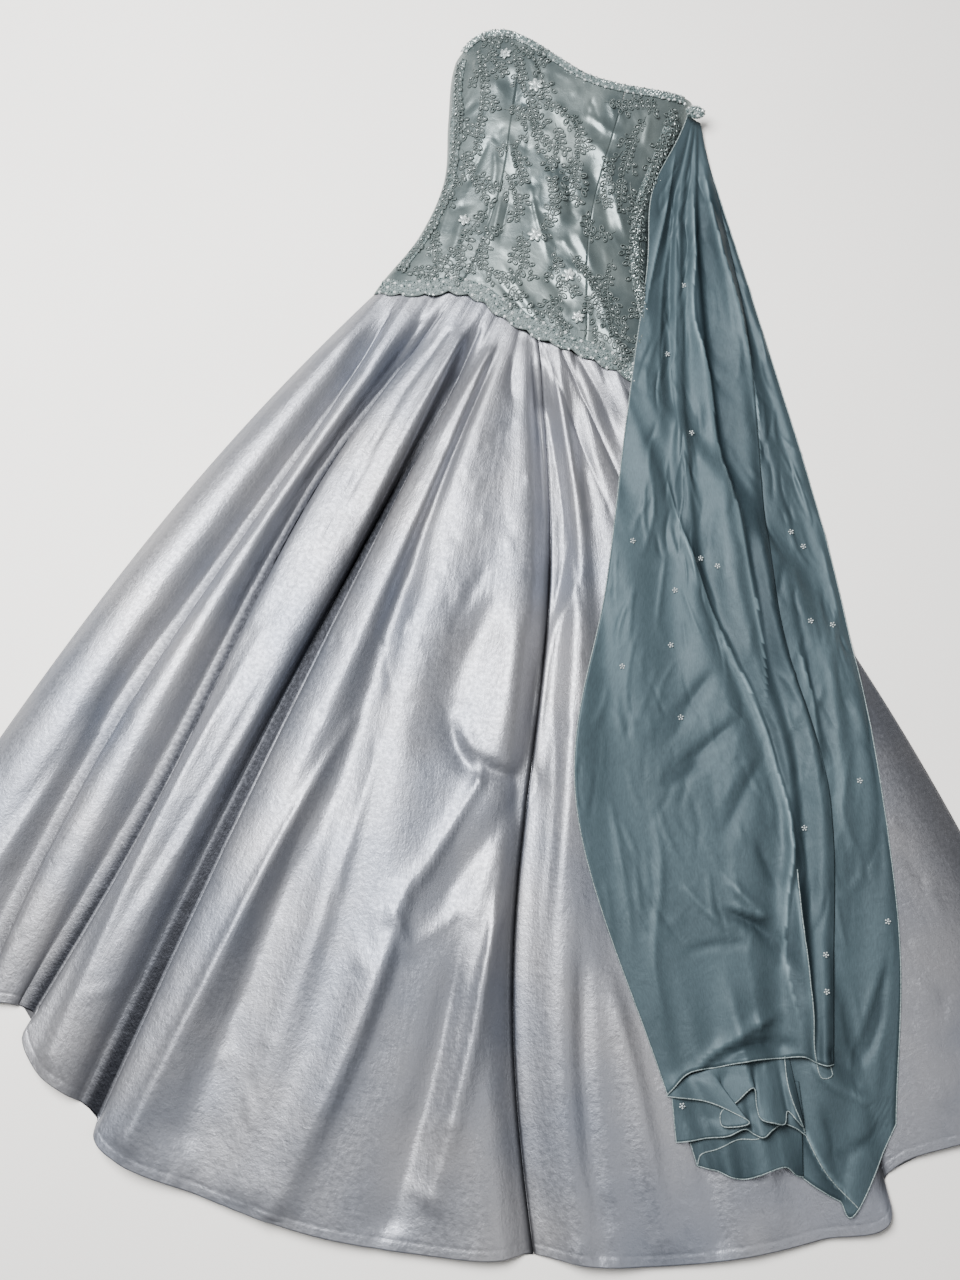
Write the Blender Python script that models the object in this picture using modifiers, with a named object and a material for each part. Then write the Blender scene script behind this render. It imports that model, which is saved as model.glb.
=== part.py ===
"""Strapless ball gown with a shoulder sash, laid on its back on a flat surface.

The gown lies along Y with its neckline at +Y and its hem at -Y, and Z is up from the surface.
Tables and sizes are in millimetres, and cloth() turns them into metres as it makes each piece.
"""
import bpy
import bmesh
import math
import numpy as np
from mathutils import Vector
from mathutils.bvhtree import BVHTree

MM = 0.001

# Driving sizes of the cloth
SATIN = 1.6
ORGANZA = 1.2
CORDING = 1.6
LAY_GAP = 0.3
SEAM = 1.3
FRONT_FLOOR = SATIN + LAY_GAP

# The bodice: its axis leans a little, and its rings run down from the bust line
BODICE_TOP = (-29.0, 733.0)
BODICE_LEAN = 4.0
BODICE_RINGS = [
    # down, half_width, crown
    (-60.0, 158.0, 34.0),
    (10.0, 167.0, 46.0),
    (90.0, 157.0, 43.0),
    (185.0, 143.0, 35.0),
    (270.0, 158.0, 33.0),
    (365.0, 199.0, 31.0),
    (450.0, 215.0, 29.0),
]
NECKLINE = [
    # share of the half width, down
    (-1.0, 0.0),
    (-0.92, -26.0),
    (-0.7, -45.0),
    (-0.45, -33.0),
    (-0.15, -7.0),
    (0.1, 11.0),
    (0.35, 16.0),
    (0.7, 8.0),
    (1.0, -6.0),
]
BASQUE_EDGE = [
    # share of the half width, down
    (-1.0, 366.0),
    (-0.7, 365.0),
    (-0.5, 354.0),
    (-0.3, 358.0),
    (-0.1, 376.0),
    (0.15, 394.0),
    (0.45, 406.0),
    (0.75, 422.0),
    (1.0, 440.0),
]
CROWN_SQUARENESS = 2.6
CROWN_ROUNDING = 0.62
BACK_DROP = 14.0
PRINCESS_SEAM = 0.44
PANEL_GAP = 0.003
PANEL_ROWS = 12
BACK_PANEL_ROWS = 9
CENTER_COLUMNS = 11
SIDE_COLUMNS = 9
ZIP_SHARE = 0.022
ZIP_GAP_SHARE = 0.002

# The skirt: a fan of lines from the basque edge to the hem, from the left seam to the right one
FAN_CENTRE = (-30.0, 538.0)
SKIRT_FRONT = [
    # waist: share of the basque edge; angle: degrees from straight down; reach: fan centre to hem;
    # bow and sway: sideways curve of the line; top, middle, hem: height of the cloth's underside
    # name, waist, angle, reach, bow, sway, top, middle, hem
    ("side seam left", 0.000, -33.0, 1264, -34, -2, 2, 2, 2),
    ("side roll left", 0.025, -31.6, 1262, -36, 0, 13, 17, 13),
    ("ridge a", 0.060, -28.6, 1250, -32, 4, 21, 25, 17),
    ("foot a", 0.092, -26.5, 1238, -28, 8, 9, 7, 5),
    ("throat a", 0.103, -26.1, 1234, -27, 8, 6, 4, 3),
    ("lip a", 0.114, -25.7, 1240, -26, 7, 15, 15, 12),
    ("ridge b", 0.180, -24.2, 1229, -32, 0, 27, 28, 19),
    ("foot b", 0.262, -23.4, 1225, -22, -14, 9, 7, 5),
    ("throat b", 0.274, -23.0, 1224, -23, -15, 6, 4, 3),
    ("lip b", 0.286, -22.6, 1253, -24, -16, 16, 16, 12),
    ("slope c", 0.318, -21.3, 1272, -16, -4, 27, 25, 16),
    ("ridge c", 0.350, -19.2, 1281, 0, 8, 34, 36, 25),
    ("foot c", 0.390, -17.6, 1285, -10, 0, 9, 7, 5),
    ("throat c", 0.402, -17.15, 1288, -10, 0, 5, 4, 3),
    ("lip c", 0.414, -16.75, 1306, -10, 0, 17, 17, 13),
    ("ridge d", 0.446, -15.0, 1320, 0, 1, 34, 36, 22),
    ("hollow d", 0.472, -10.6, 1321, -12, -8, 22, 20, 12),
    ("centre ridge", 0.496, -4.4, 1326, -24, -14, 33, 31, 17),
    ("dip e", 0.520, 0.6, 1325, -14, 4, 24, 22, 13),
    ("crease shoulder", 0.540, 4.6, 1323, -8, 18, 20, 21, 14),
    ("crease left", 0.556, 6.0, 1316, -5, 22, 8, 7, 4),
    ("seam left", 0.570, 6.25, 1316, -5, 22, 8, 7, 4),
    ("seam right", 0.572, 6.29, 1316, -5, 22, 8, 7, 4),
    ("crease right", 0.586, 6.6, 1317, -5, 22, 8, 7, 4),
    ("ridge f", 0.616, 8.8, 1326, 0, 20, 26, 27, 18),
    ("hollow f", 0.660, 12.2, 1331, 5, 8, 16, 12, 8),
    ("ridge g", 0.700, 16.4, 1333, 10, 0, 21, 15, 12),
    ("hollow g", 0.750, 20.4, 1331, 16, 0, 13, 9, 7),
    ("lip h", 0.836, 24.2, 1324, 26, 0, 13, 10, 10),
    ("throat h", 0.846, 24.55, 1286, 26, 0, 5, 4, 3),
    ("foot h", 0.860, 25.0, 1281, 27, 0, 7, 5, 4),
    ("ridge i", 0.920, 29.6, 1280, 32, 0, 13, 13, 12),
    ("side roll right", 0.974, 34.8, 1274, 36, 0, 9, 11, 9),
    ("side seam right", 1.000, 36.2, 1268, 38, 0, 2, 2, 2),
]
GORE_SEAM = 22
TOP_SHARE = 0.12
MIDDLE_SHARE = 0.55
GATHER_START = 0.012
GATHER_END = 0.10
SKIRT_ROWS = 15
ROW_CROWDING = 1.35
COLUMN_STEP = 20.0
BACK_SHORT = 9.0
BACK_ROWS = [0.0, 0.1, 0.25, 0.5, 0.75, 1.0]
CENTRE_BACK = "dip e"

# The sash: lines down each fall of organza, from the knot to the hem end, five places on each
SASH_UPPER = [
    # name, then x and y at the knot, at the waist, at the hip, at the knee and at the end; then fold height
    ("left edge", 134, 698, 107, 478, 101, 28, 98, -262, 244, -576, 0),
    ("left roll", 137, 697, 120, 473, 135, 38, 135, -262, 262, -552, 5),
    ("left hollow", 139, 696, 135, 468, 185, 18, 205, -242, 300, -537, 1),
    ("fold b ridge", 142, 696, 148, 463, 222, 13, 300, -207, 345, -522, 8),
    ("fold b edge", 144, 696, 160, 458, 246, 3, 338, -197, 372, -517, 2),
    ("fold a ridge", 146, 695, 174, 453, 274, 8, 352, -192, 396, -512, 9),
    ("fold a edge", 148, 695, 184, 448, 292, 8, 364, -192, 410, -516, 1),
    ("c ridge", 150, 695, 214, 448, 312, 13, 384, -197, 428, -492, 6),
    ("c edge", 152, 694, 232, 444, 322, 8, 398, -217, 446, -462, 0),
]
SASH_LOWER = [
    ("hidden edge", 136, 684, 200, 438, 250, 8, 290, -292, 380, -632, 0),
    ("hollow", 140, 684, 214, 436, 290, 8, 352, -292, 400, -642, 0),
    ("ridge", 144, 683, 228, 434, 352, 8, 412, -297, 428, -656, 5),
    ("dip", 148, 683, 240, 432, 384, 8, 452, -310, 452, -664, 1),
    ("roll", 151, 682, 250, 430, 402, 8, 482, -327, 484, -647, 4),
    ("right edge", 153, 681, 256, 428, 411, 10, 493, -344, 510, -582, 0),
]
SASH_TAIL = [
    # name, left x and y, right x and y, depth, wave height, waves
    ("sash_tail_lower", 268, -604, 398, -604, 46, 4.0, 3),
    ("sash_tail_middle", 256, -582, 392, -564, 44, 4.5, 3),
    ("sash_tail_upper", 248, -570, 404, -512, 36, 5.0, 2),
]
TAIL_ROWS = 4
TAIL_COLUMNS = 15
TAIL_SPREAD = 6.0
SASH_PLACES = [0.0, 0.19, 0.52, 0.77, 1.0]
SASH_ROWS = 24
SASH_STEP = 24.0
SASH_SPREAD = 14.4
SASH_GATHER = 0.16
SASH_GATHER_LIFT = 3.0
LAY_CLEAR = 0.8
STEEPEST = 0.55

# The beaded trims and the corded sprays on the bodice
NECK_TRIM = 11.0
NECK_TRIM_OVER = 1.0
NECK_TRIM_SPAN = (-0.95, 0.93)
NECK_TRIM_ROWS = 41
BASQUE_TRIM = 24.0
BASQUE_TRIM_OVER = 4.0
BASQUE_TRIM_SPAN = (-0.97, 0.97)
SCALLOP = 5.0
SCALLOPS = 13
SCALLOP_ROWS = 4
SIDE_TRIM = 12.0
SIDE_TRIM_SPAN = (0.07, 0.90)
SIDE_TRIM_ROWS = 21
SIDE_TRIMS = [
    # name, share of the half width
    ("side_trim_left", -0.93),
    ("side_trim_right", 0.86),
]
TRIM_SPREAD = 2.0
TRIM_RISE = 2.6
TRIM_LIFT = 0.9
SIDE_LIFT = 1.2
SIDE_LIMIT = 0.985
SPRAYS = [
    # name, then share of half width and share of height at the root, bend and tip; leaf pairs
    ("spray_bust_left", -0.82, 0.06, -0.70, 0.24, -0.72, 0.46, 9),
    ("spray_bust_center", -0.50, 0.08, -0.34, 0.20, -0.20, 0.32, 7),
    ("spray_bust_right", -0.22, 0.20, 0.14, 0.20, 0.26, 0.46, 9),
    ("spray_side_right", 0.66, 0.10, 0.62, 0.26, 0.70, 0.44, 8),
    ("spray_waist_left", -0.86, 0.44, -0.62, 0.60, -0.44, 0.58, 8),
    ("spray_waist_center", -0.14, 0.74, 0.10, 0.56, 0.02, 0.44, 8),
    ("spray_waist_right", 0.68, 0.52, 0.54, 0.56, 0.36, 0.53, 6),
    ("spray_hip_left", -0.50, 0.67, -0.60, 0.79, -0.52, 0.90, 6),
    ("spray_hip_right", 0.66, 0.62, 0.60, 0.76, 0.62, 0.89, 7),
]
LEAF_REACH = 8.0
LEAF_ROWS = 4
STEM_HALF = 2.0
SPRAY_TAPER = 0.45
FLOWERS = [
    # name, share of half width, share of height, petal reach
    ("flower_bust_left", -0.58, 0.10, 9.0),
    ("flower_bust_center", -0.28, 0.16, 11.0),
    ("flower_waist_center", -0.02, 0.66, 11.0),
    ("flower_hip_left", -0.66, 0.72, 9.0),
    ("flower_hip_center", 0.30, 0.74, 10.0),
    ("flower_hip_right", 0.38, 0.88, 9.0),
]
PETALS = 5
PETAL_DIP = 0.22
FLOWER_RISE = 3.0
FLOWER_LIFT = 0.6
FLOWER_TOP = 0.4
KNOT_PLACE = (146.5, 694.0)
KNOT_HALF = (9.0, 8.0, 6.0)
KNOT_SPREAD = 2.25

SATIN_GREY = (0.30, 0.32, 0.35)
BODICE_TEAL = (0.22, 0.28, 0.28)
SASH_TEAL = (0.10, 0.155, 0.17)
BEAD_SILVER = (0.42, 0.47, 0.46)
CORD_TEAL = (0.17, 0.22, 0.22)


def clear_scene():
    for thing in list(bpy.data.objects):
        bpy.data.objects.remove(thing, do_unlink=True)


def collection(name):
    group = bpy.data.collections.new(name)
    bpy.context.scene.collection.children.link(group)
    return group


def material(name, colour, roughness, metallic=0.0):
    made = bpy.data.materials.new(name)
    made.use_nodes = True
    shader = made.node_tree.nodes["Principled BSDF"]
    shader.inputs["Base Color"].default_value = (*colour, 1.0)
    shader.inputs["Roughness"].default_value = roughness
    shader.inputs["Metallic"].default_value = metallic
    return made


def curve_through(knots, places, at):
    """Smooth curve through knots that sit at the given places, read at the values in at."""
    knots = np.asarray(knots, float)
    places = np.asarray(places, float)
    at = np.asarray(at, float)
    flat = knots.reshape(len(knots), -1)
    step = np.diff(places)
    slope = np.diff(flat, axis=0) / step[:, None]
    tangent = np.vstack([slope[:1], np.zeros((len(knots) - 2, flat.shape[1])), slope[-1:]])
    before, after = step[:-1, None], step[1:, None]
    tangent[1:-1] = (after * slope[:-1] + before * slope[1:]) / (before + after)
    span = np.clip(np.searchsorted(places, at, side="right") - 1, 0, len(knots) - 2)
    length = step[span]
    t = ((at - places[span]) / length)[:, None]
    length = length[:, None]
    start, end = flat[span], flat[span + 1]
    out = (2 * t**3 - 3 * t**2 + 1) * start + (t**3 - 2 * t**2 + t) * length * tangent[span]
    out += (3 * t**2 - 2 * t**3) * end + (t**3 - t**2) * length * tangent[span + 1]
    return out.reshape((len(at),) + knots.shape[1:])


def table_curve(table, at):
    """One or more columns of a table, read smoothly against its first column."""
    rows = np.asarray(table, float)
    return curve_through(rows[:, 1:], rows[:, 0], np.atleast_1d(at))


def cloth(name, grid, wall, finish, group):
    """A piece of cloth: an open sheet of quads, rows down and columns across, given its wall upwards."""
    rows, columns = grid.shape[:2]
    points = [tuple(point) for point in grid.reshape(-1, 3) * MM]
    faces = [
        (r * columns + c, (r + 1) * columns + c, (r + 1) * columns + c + 1, r * columns + c + 1)
        for r in range(rows - 1)
        for c in range(columns - 1)
    ]
    mesh = bpy.data.meshes.new(name)
    mesh.from_pydata(points, [], faces)
    mesh.shade_smooth()
    mesh.materials.append(finish)
    piece = bpy.data.objects.new(name, mesh)
    group.objects.link(piece)
    shell = piece.modifiers.new("Wall", "SOLIDIFY")
    shell.thickness = wall * MM
    shell.offset = 1.0
    return piece


def bodice_place(share, down):
    """Flat place (x, y) on the bodice at a share of the half width and a distance down its axis."""
    lean = math.radians(BODICE_LEAN)
    half, _ = table_curve(BODICE_RINGS, down)[0]
    side = share * half
    x = BODICE_TOP[0] + side * math.cos(lean) - down * math.sin(lean)
    y = BODICE_TOP[1] - side * math.sin(lean) - down * math.cos(lean)
    return x, y


def bodice_height(share, down):
    """Height of the front's underside: a rounded arch from side seam to side seam."""
    _, crown = table_curve(BODICE_RINGS, down)[0]
    return FRONT_FLOOR + crown * (1.0 - min(abs(share), 1.0) ** CROWN_SQUARENESS) ** CROWN_ROUNDING


def bodice_panel(name, shares, rows, finish, group, top_drop=0.0, flat=False):
    """A bodice panel between the neckline and the basque edge, as columns at shares of the width."""
    grid = np.zeros((rows, len(shares), 3))
    for c, share in enumerate(shares):
        top = table_curve(NECKLINE, share)[0][0] + top_drop
        bottom = table_curve(BASQUE_EDGE, share)[0][0]
        for r in range(rows):
            down = top + (bottom - top) * r / (rows - 1)
            x, y = bodice_place(share, down)
            grid[r, c] = (x, y, 0.0 if flat else bodice_height(share, down))
    return cloth(name, grid, SATIN, finish, group)


def basque_place(along):
    """Place on the basque seam at a share of the edge, from the left side seam to the right."""
    share = 2.0 * along - 1.0
    down = table_curve(BASQUE_EDGE, share)[0][0]
    x, y = bodice_place(share, down + SEAM)
    return np.array([x, y, bodice_height(share, down)])


def smooth_step(start, end, value):
    t = min(max((value - start) / (end - start), 0.0), 1.0)
    return t * t * (3.0 - 2.0 * t)


def skirt_line(line, shares, flat=False, short=0.0):
    """Points of one line down the skirt, at the given shares of its length."""
    _, waist, angle, reach, bow, sway, top, middle, hem = line
    start = basque_place(waist)
    turn = math.radians(angle)
    end = np.array(FAN_CENTRE) + (reach - short) * np.array([math.sin(turn), -math.cos(turn)])
    chord = end - start[:2]
    across = np.array([-chord[1], chord[0]]) / np.hypot(*chord)
    heights = curve_through([top, top, middle, hem], [0.0, TOP_SHARE, MIDDLE_SHARE, 1.0], shares)
    points = np.zeros((len(shares), 3))
    for i, v in enumerate(shares):
        side = bow * 4.0 * v * (1.0 - v) + sway * math.sin(math.tau * v)
        points[i, :2] = start[:2] + chord * v + across * side
        fall = smooth_step(GATHER_START, GATHER_END, v)
        points[i, 2] = start[2] * (1.0 - fall) + heights[i] * fall
    if flat:
        points[:, 2] = 0.0
    return points


def across_lines(lines, column_step, floor):
    """Sections across a set of lines: each row runs smoothly through the lines' points."""
    gaps = np.linalg.norm(np.diff(lines[:, lines.shape[1] * 2 // 3], axis=0), axis=1)
    places = np.concatenate([[0.0], np.cumsum(np.maximum(gaps, 1.0))])
    at = [0.0]
    for i, gap in enumerate(gaps):
        steps = max(1, int(round(gap / column_step)))
        at.extend(places[i] + (places[i + 1] - places[i]) * (k + 1) / steps for k in range(steps))
    rows = []
    for r in range(lines.shape[1]):
        row = curve_through(lines[:, r], places, at)
        row[:, 2] = np.maximum(row[:, 2], floor)
        rows.append(row)
    return np.array(rows)


def row_shares(rows):
    """Shares of a line's length, closer together near the waist."""
    return [(r / (rows - 1)) ** ROW_CROWDING for r in range(rows)]


def skirt_gore(name, table, finish, group):
    shares = row_shares(SKIRT_ROWS)
    lines = np.array([skirt_line(line, shares) for line in table])
    return cloth(name, across_lines(lines, COLUMN_STEP, FRONT_FLOOR), SATIN, finish, group)


def back_lines(first, last):
    """The lines of the back skirt between two of the table's lines: its seams and the ridges."""
    names = [line[0] for line in SKIRT_FRONT]
    span = SKIRT_FRONT[names.index(first):names.index(last) + 1]
    return [span[0]] + [line for line in span[1:-1] if "ridge" in line[0]] + [span[-1]]


def skirt_back(name, table, shift, finish, group):
    """Half of the back skirt, flat on the surface under the front."""
    lines = np.array([skirt_line(line, BACK_ROWS, flat=True, short=BACK_SHORT) for line in table])
    lines[:, :, 0] += shift
    return cloth(name, np.transpose(lines, (1, 0, 2)), SATIN, finish, group)


def support_of(pieces):
    """A search tree over the upper faces of pieces that something else will lie on."""
    depsgraph = bpy.context.evaluated_depsgraph_get()
    points, faces = [], []
    for piece in pieces:
        mesh = piece.evaluated_get(depsgraph).to_mesh()
        base = len(points)
        points.extend(vertex.co.copy() for vertex in mesh.vertices)
        faces.extend([base + index for index in face.vertices] for face in mesh.polygons)
    return BVHTree.FromPolygons(points, faces)


def height_on(tree, x, y, spread):
    """Greatest height of what lies under a small disc, in millimetres."""
    best = 0.0
    spots = [(0.0, 0.0)]
    for ring in (0.5, 1.0):
        spots.extend(
            (ring * spread * math.cos(math.tau * k / 8), ring * spread * math.sin(math.tau * k / 8))
            for k in range(8)
        )
    for dx, dy in spots:
        hit = tree.ray_cast(Vector(((x + dx) * MM, (y + dy) * MM, 1.0)), Vector((0.0, 0.0, -1.0)))
        if hit[0] is not None:
            best = max(best, hit[0].z / MM)
    return best


def lay_on(tree, grid, spread, clearance):
    """Lift a grid onto its support: each point's z is its fold height, and no slope is too steep."""
    rest = np.array([height_on(tree, x, y, spread) for x, y, _ in grid.reshape(-1, 3)])
    rest = rest.reshape(grid.shape[:2])
    down = np.linalg.norm(np.diff(grid[:, :, :2], axis=0), axis=2) * STEEPEST
    across = np.linalg.norm(np.diff(grid[:, :, :2], axis=1), axis=2) * STEEPEST
    for _ in range(grid.shape[0]):
        rest[1:] = np.maximum(rest[1:], rest[:-1] - down)
        rest[:-1] = np.maximum(rest[:-1], rest[1:] - down)
        rest[:, 1:] = np.maximum(rest[:, 1:], rest[:, :-1] - across)
        rest[:, :-1] = np.maximum(rest[:, :-1], rest[:, 1:] - across)
    grid[:, :, 2] += rest + clearance
    return grid


def sash_fall(name, table, tree, finish, group, gather_lift):
    """One fall of the sash: lines through five places each, joined across and laid on what is below.

    The gathers lift the cloth by gather_lift at the knot, and its folds open out below them.
    """
    shares = np.linspace(0.0, 1.0, SASH_ROWS)
    opened = np.minimum(1.0, shares / SASH_GATHER)
    lines = []
    for row in table:
        knots = np.array(row[1:11], float).reshape(5, 2)
        path = curve_through(knots, SASH_PLACES, shares)
        lines.append(np.column_stack([path, row[11] * opened + gather_lift * (1.0 - opened)]))
    grid = across_lines(np.array(lines), SASH_STEP, 0.0)
    return cloth(name, lay_on(tree, grid, SASH_SPREAD, LAY_CLEAR), ORGANZA, finish, group)


def sash_tail(row, tree, finish, group):
    """A turned-up end of the sash: a short tier with a waved hem, laid over the tier below."""
    name, left_x, left_y, right_x, right_y, depth, wave, waves = row
    left, right = np.array([left_x, left_y], float), np.array([right_x, right_y], float)
    along = (right - left) / np.linalg.norm(right - left)
    down = np.array([along[1], -along[0]])
    grid = np.zeros((TAIL_ROWS, TAIL_COLUMNS, 3))
    for r, fall in enumerate(np.linspace(0.0, 1.0, TAIL_ROWS)):
        for c, share in enumerate(np.linspace(0.0, 1.0, TAIL_COLUMNS)):
            ripple = math.sin(math.tau * waves * share)
            place = left + (right - left) * share + down * (depth + wave * ripple) * fall
            grid[r, c] = (*place, wave * (1.0 + ripple) * 0.5 * fall)
    return cloth(name, lay_on(tree, grid, TAIL_SPREAD, LAY_CLEAR - LAY_GAP), ORGANZA, finish, group)


def bodice_surface(x, y, out):
    """The point of the bodice front over a flat place, moved out from the cloth's underside."""
    lean = math.radians(BODICE_LEAN)
    dx, dy = x - BODICE_TOP[0], y - BODICE_TOP[1]
    side = dx * math.cos(lean) - dy * math.sin(lean)
    down = -dx * math.sin(lean) - dy * math.cos(lean)
    half, _ = table_curve(BODICE_RINGS, down)[0]
    share = min(max(side / half, -SIDE_LIMIT), SIDE_LIMIT)

    def point(a, d):
        return np.array([*bodice_place(a, d), bodice_height(a, d)])

    across = point(share + 0.01, down) - point(share - 0.01, down)
    along = point(share, down + 2.0) - point(share, down - 2.0)
    normal = np.cross(along, across)
    return point(share, down) + normal / np.linalg.norm(normal) * out


def ribbon(name, path, left_half, right_half, finish, group, wall, lift=TRIM_LIFT, over=None):
    """A flat trim along a path on the bodice, with a half width on each side at every point.

    Where over is given, the trim's right side also clears the cloth in that search tree.
    """
    path = np.asarray(path, float)
    ahead = np.gradient(path, axis=0)
    ahead /= np.linalg.norm(ahead, axis=1)[:, None]
    to_left = np.column_stack([-ahead[:, 1], ahead[:, 0]])
    grid = np.zeros((len(path), 3, 3))
    for r, place in enumerate(path):
        sides = (-right_half[r], 0.0, left_half[r])
        for c, side in enumerate(sides):
            grid[r, c] = bodice_surface(*(place + to_left[r] * side), SATIN + lift)
        if over is not None:
            for c in (0, 1):
                lowest = height_on(over, grid[r, c, 0], grid[r, c, 1], TRIM_SPREAD) + lift
                grid[r, c, 2] = max(grid[r, c, 2], lowest)
    return cloth(name, grid, wall, finish, group)


def edge_path(table, span, count, inset):
    """Places along the neckline or the basque edge, moved down the bodice by inset."""
    places = []
    for share in np.linspace(*span, count):
        down = table_curve(table, share)[0][0]
        places.append(bodice_place(share, down + inset))
    return np.array(places)


def on_bodice(share, height):
    """Flat place on the bodice at a share of its half width and a share of its height."""
    top = table_curve(NECKLINE, share)[0][0]
    bottom = table_curve(BASQUE_EDGE, share)[0][0]
    return bodice_place(share, top + (bottom - top) * height)


def spray(row, finish, group):
    """A corded stem with pairs of leaves, which swell its width in step, one pair after another."""
    name, pairs = row[0], row[7]
    knots = np.array(row[1:7], float).reshape(3, 2)
    count = pairs * LEAF_ROWS + 1
    along = np.linspace(0.0, 1.0, count)
    shares = curve_through(knots, [0.0, 0.5, 1.0], along)
    path = np.array([on_bodice(share, height) for share, height in shares])
    swell = np.abs(np.sin(math.pi * np.arange(count) / LEAF_ROWS))
    taper = 1.0 - SPRAY_TAPER * along
    half = STEM_HALF + LEAF_REACH * swell * taper
    return ribbon(name, path, half, np.roll(half, 1), finish, group, CORDING)


def flower(row, tree, finish, group):
    """A beaded flower: a low cone whose rim is drawn in between its petals."""
    name, share, height, reach = row
    x, y = on_bodice(share, height)
    z = height_on(tree, x, y, reach) + FLOWER_LIFT + FLOWER_RISE / 2
    mesh = bpy.data.meshes.new(name)
    shape = bmesh.new()
    bmesh.ops.create_cone(
        shape,
        cap_ends=True,
        segments=PETALS * 2,
        radius1=reach * MM,
        radius2=reach * FLOWER_TOP * MM,
        depth=FLOWER_RISE * MM,
    )
    for vertex in shape.verts:
        turn = math.atan2(vertex.co.y, vertex.co.x)
        petal = 1.0 - PETAL_DIP + PETAL_DIP * math.cos(PETALS * turn)
        vertex.co.x *= petal
        vertex.co.y *= petal
    bmesh.ops.translate(shape, verts=shape.verts, vec=(x * MM, y * MM, z * MM))
    shape.to_mesh(mesh)
    shape.free()
    mesh.materials.append(finish)
    piece = bpy.data.objects.new(name, mesh)
    group.objects.link(piece)
    return piece


def beaded_knot(tree, finish, group):
    """The beaded ornament that holds the sash's gathers at the corner of the neckline."""
    x, y = KNOT_PLACE
    half_x, half_y, half_z = KNOT_HALF
    z = height_on(tree, x, y, KNOT_SPREAD) + half_z + LAY_GAP
    mesh = bpy.data.meshes.new("sash_knot")
    shape = bmesh.new()
    bmesh.ops.create_uvsphere(shape, u_segments=12, v_segments=7, radius=1.0)
    bmesh.ops.scale(shape, verts=shape.verts, vec=(half_x * MM, half_y * MM, half_z * MM))
    bmesh.ops.translate(shape, verts=shape.verts, vec=(x * MM, y * MM, z * MM))
    shape.to_mesh(mesh)
    shape.free()
    mesh.materials.append(finish)
    piece = bpy.data.objects.new("sash_knot", mesh)
    group.objects.link(piece)
    return piece


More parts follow.
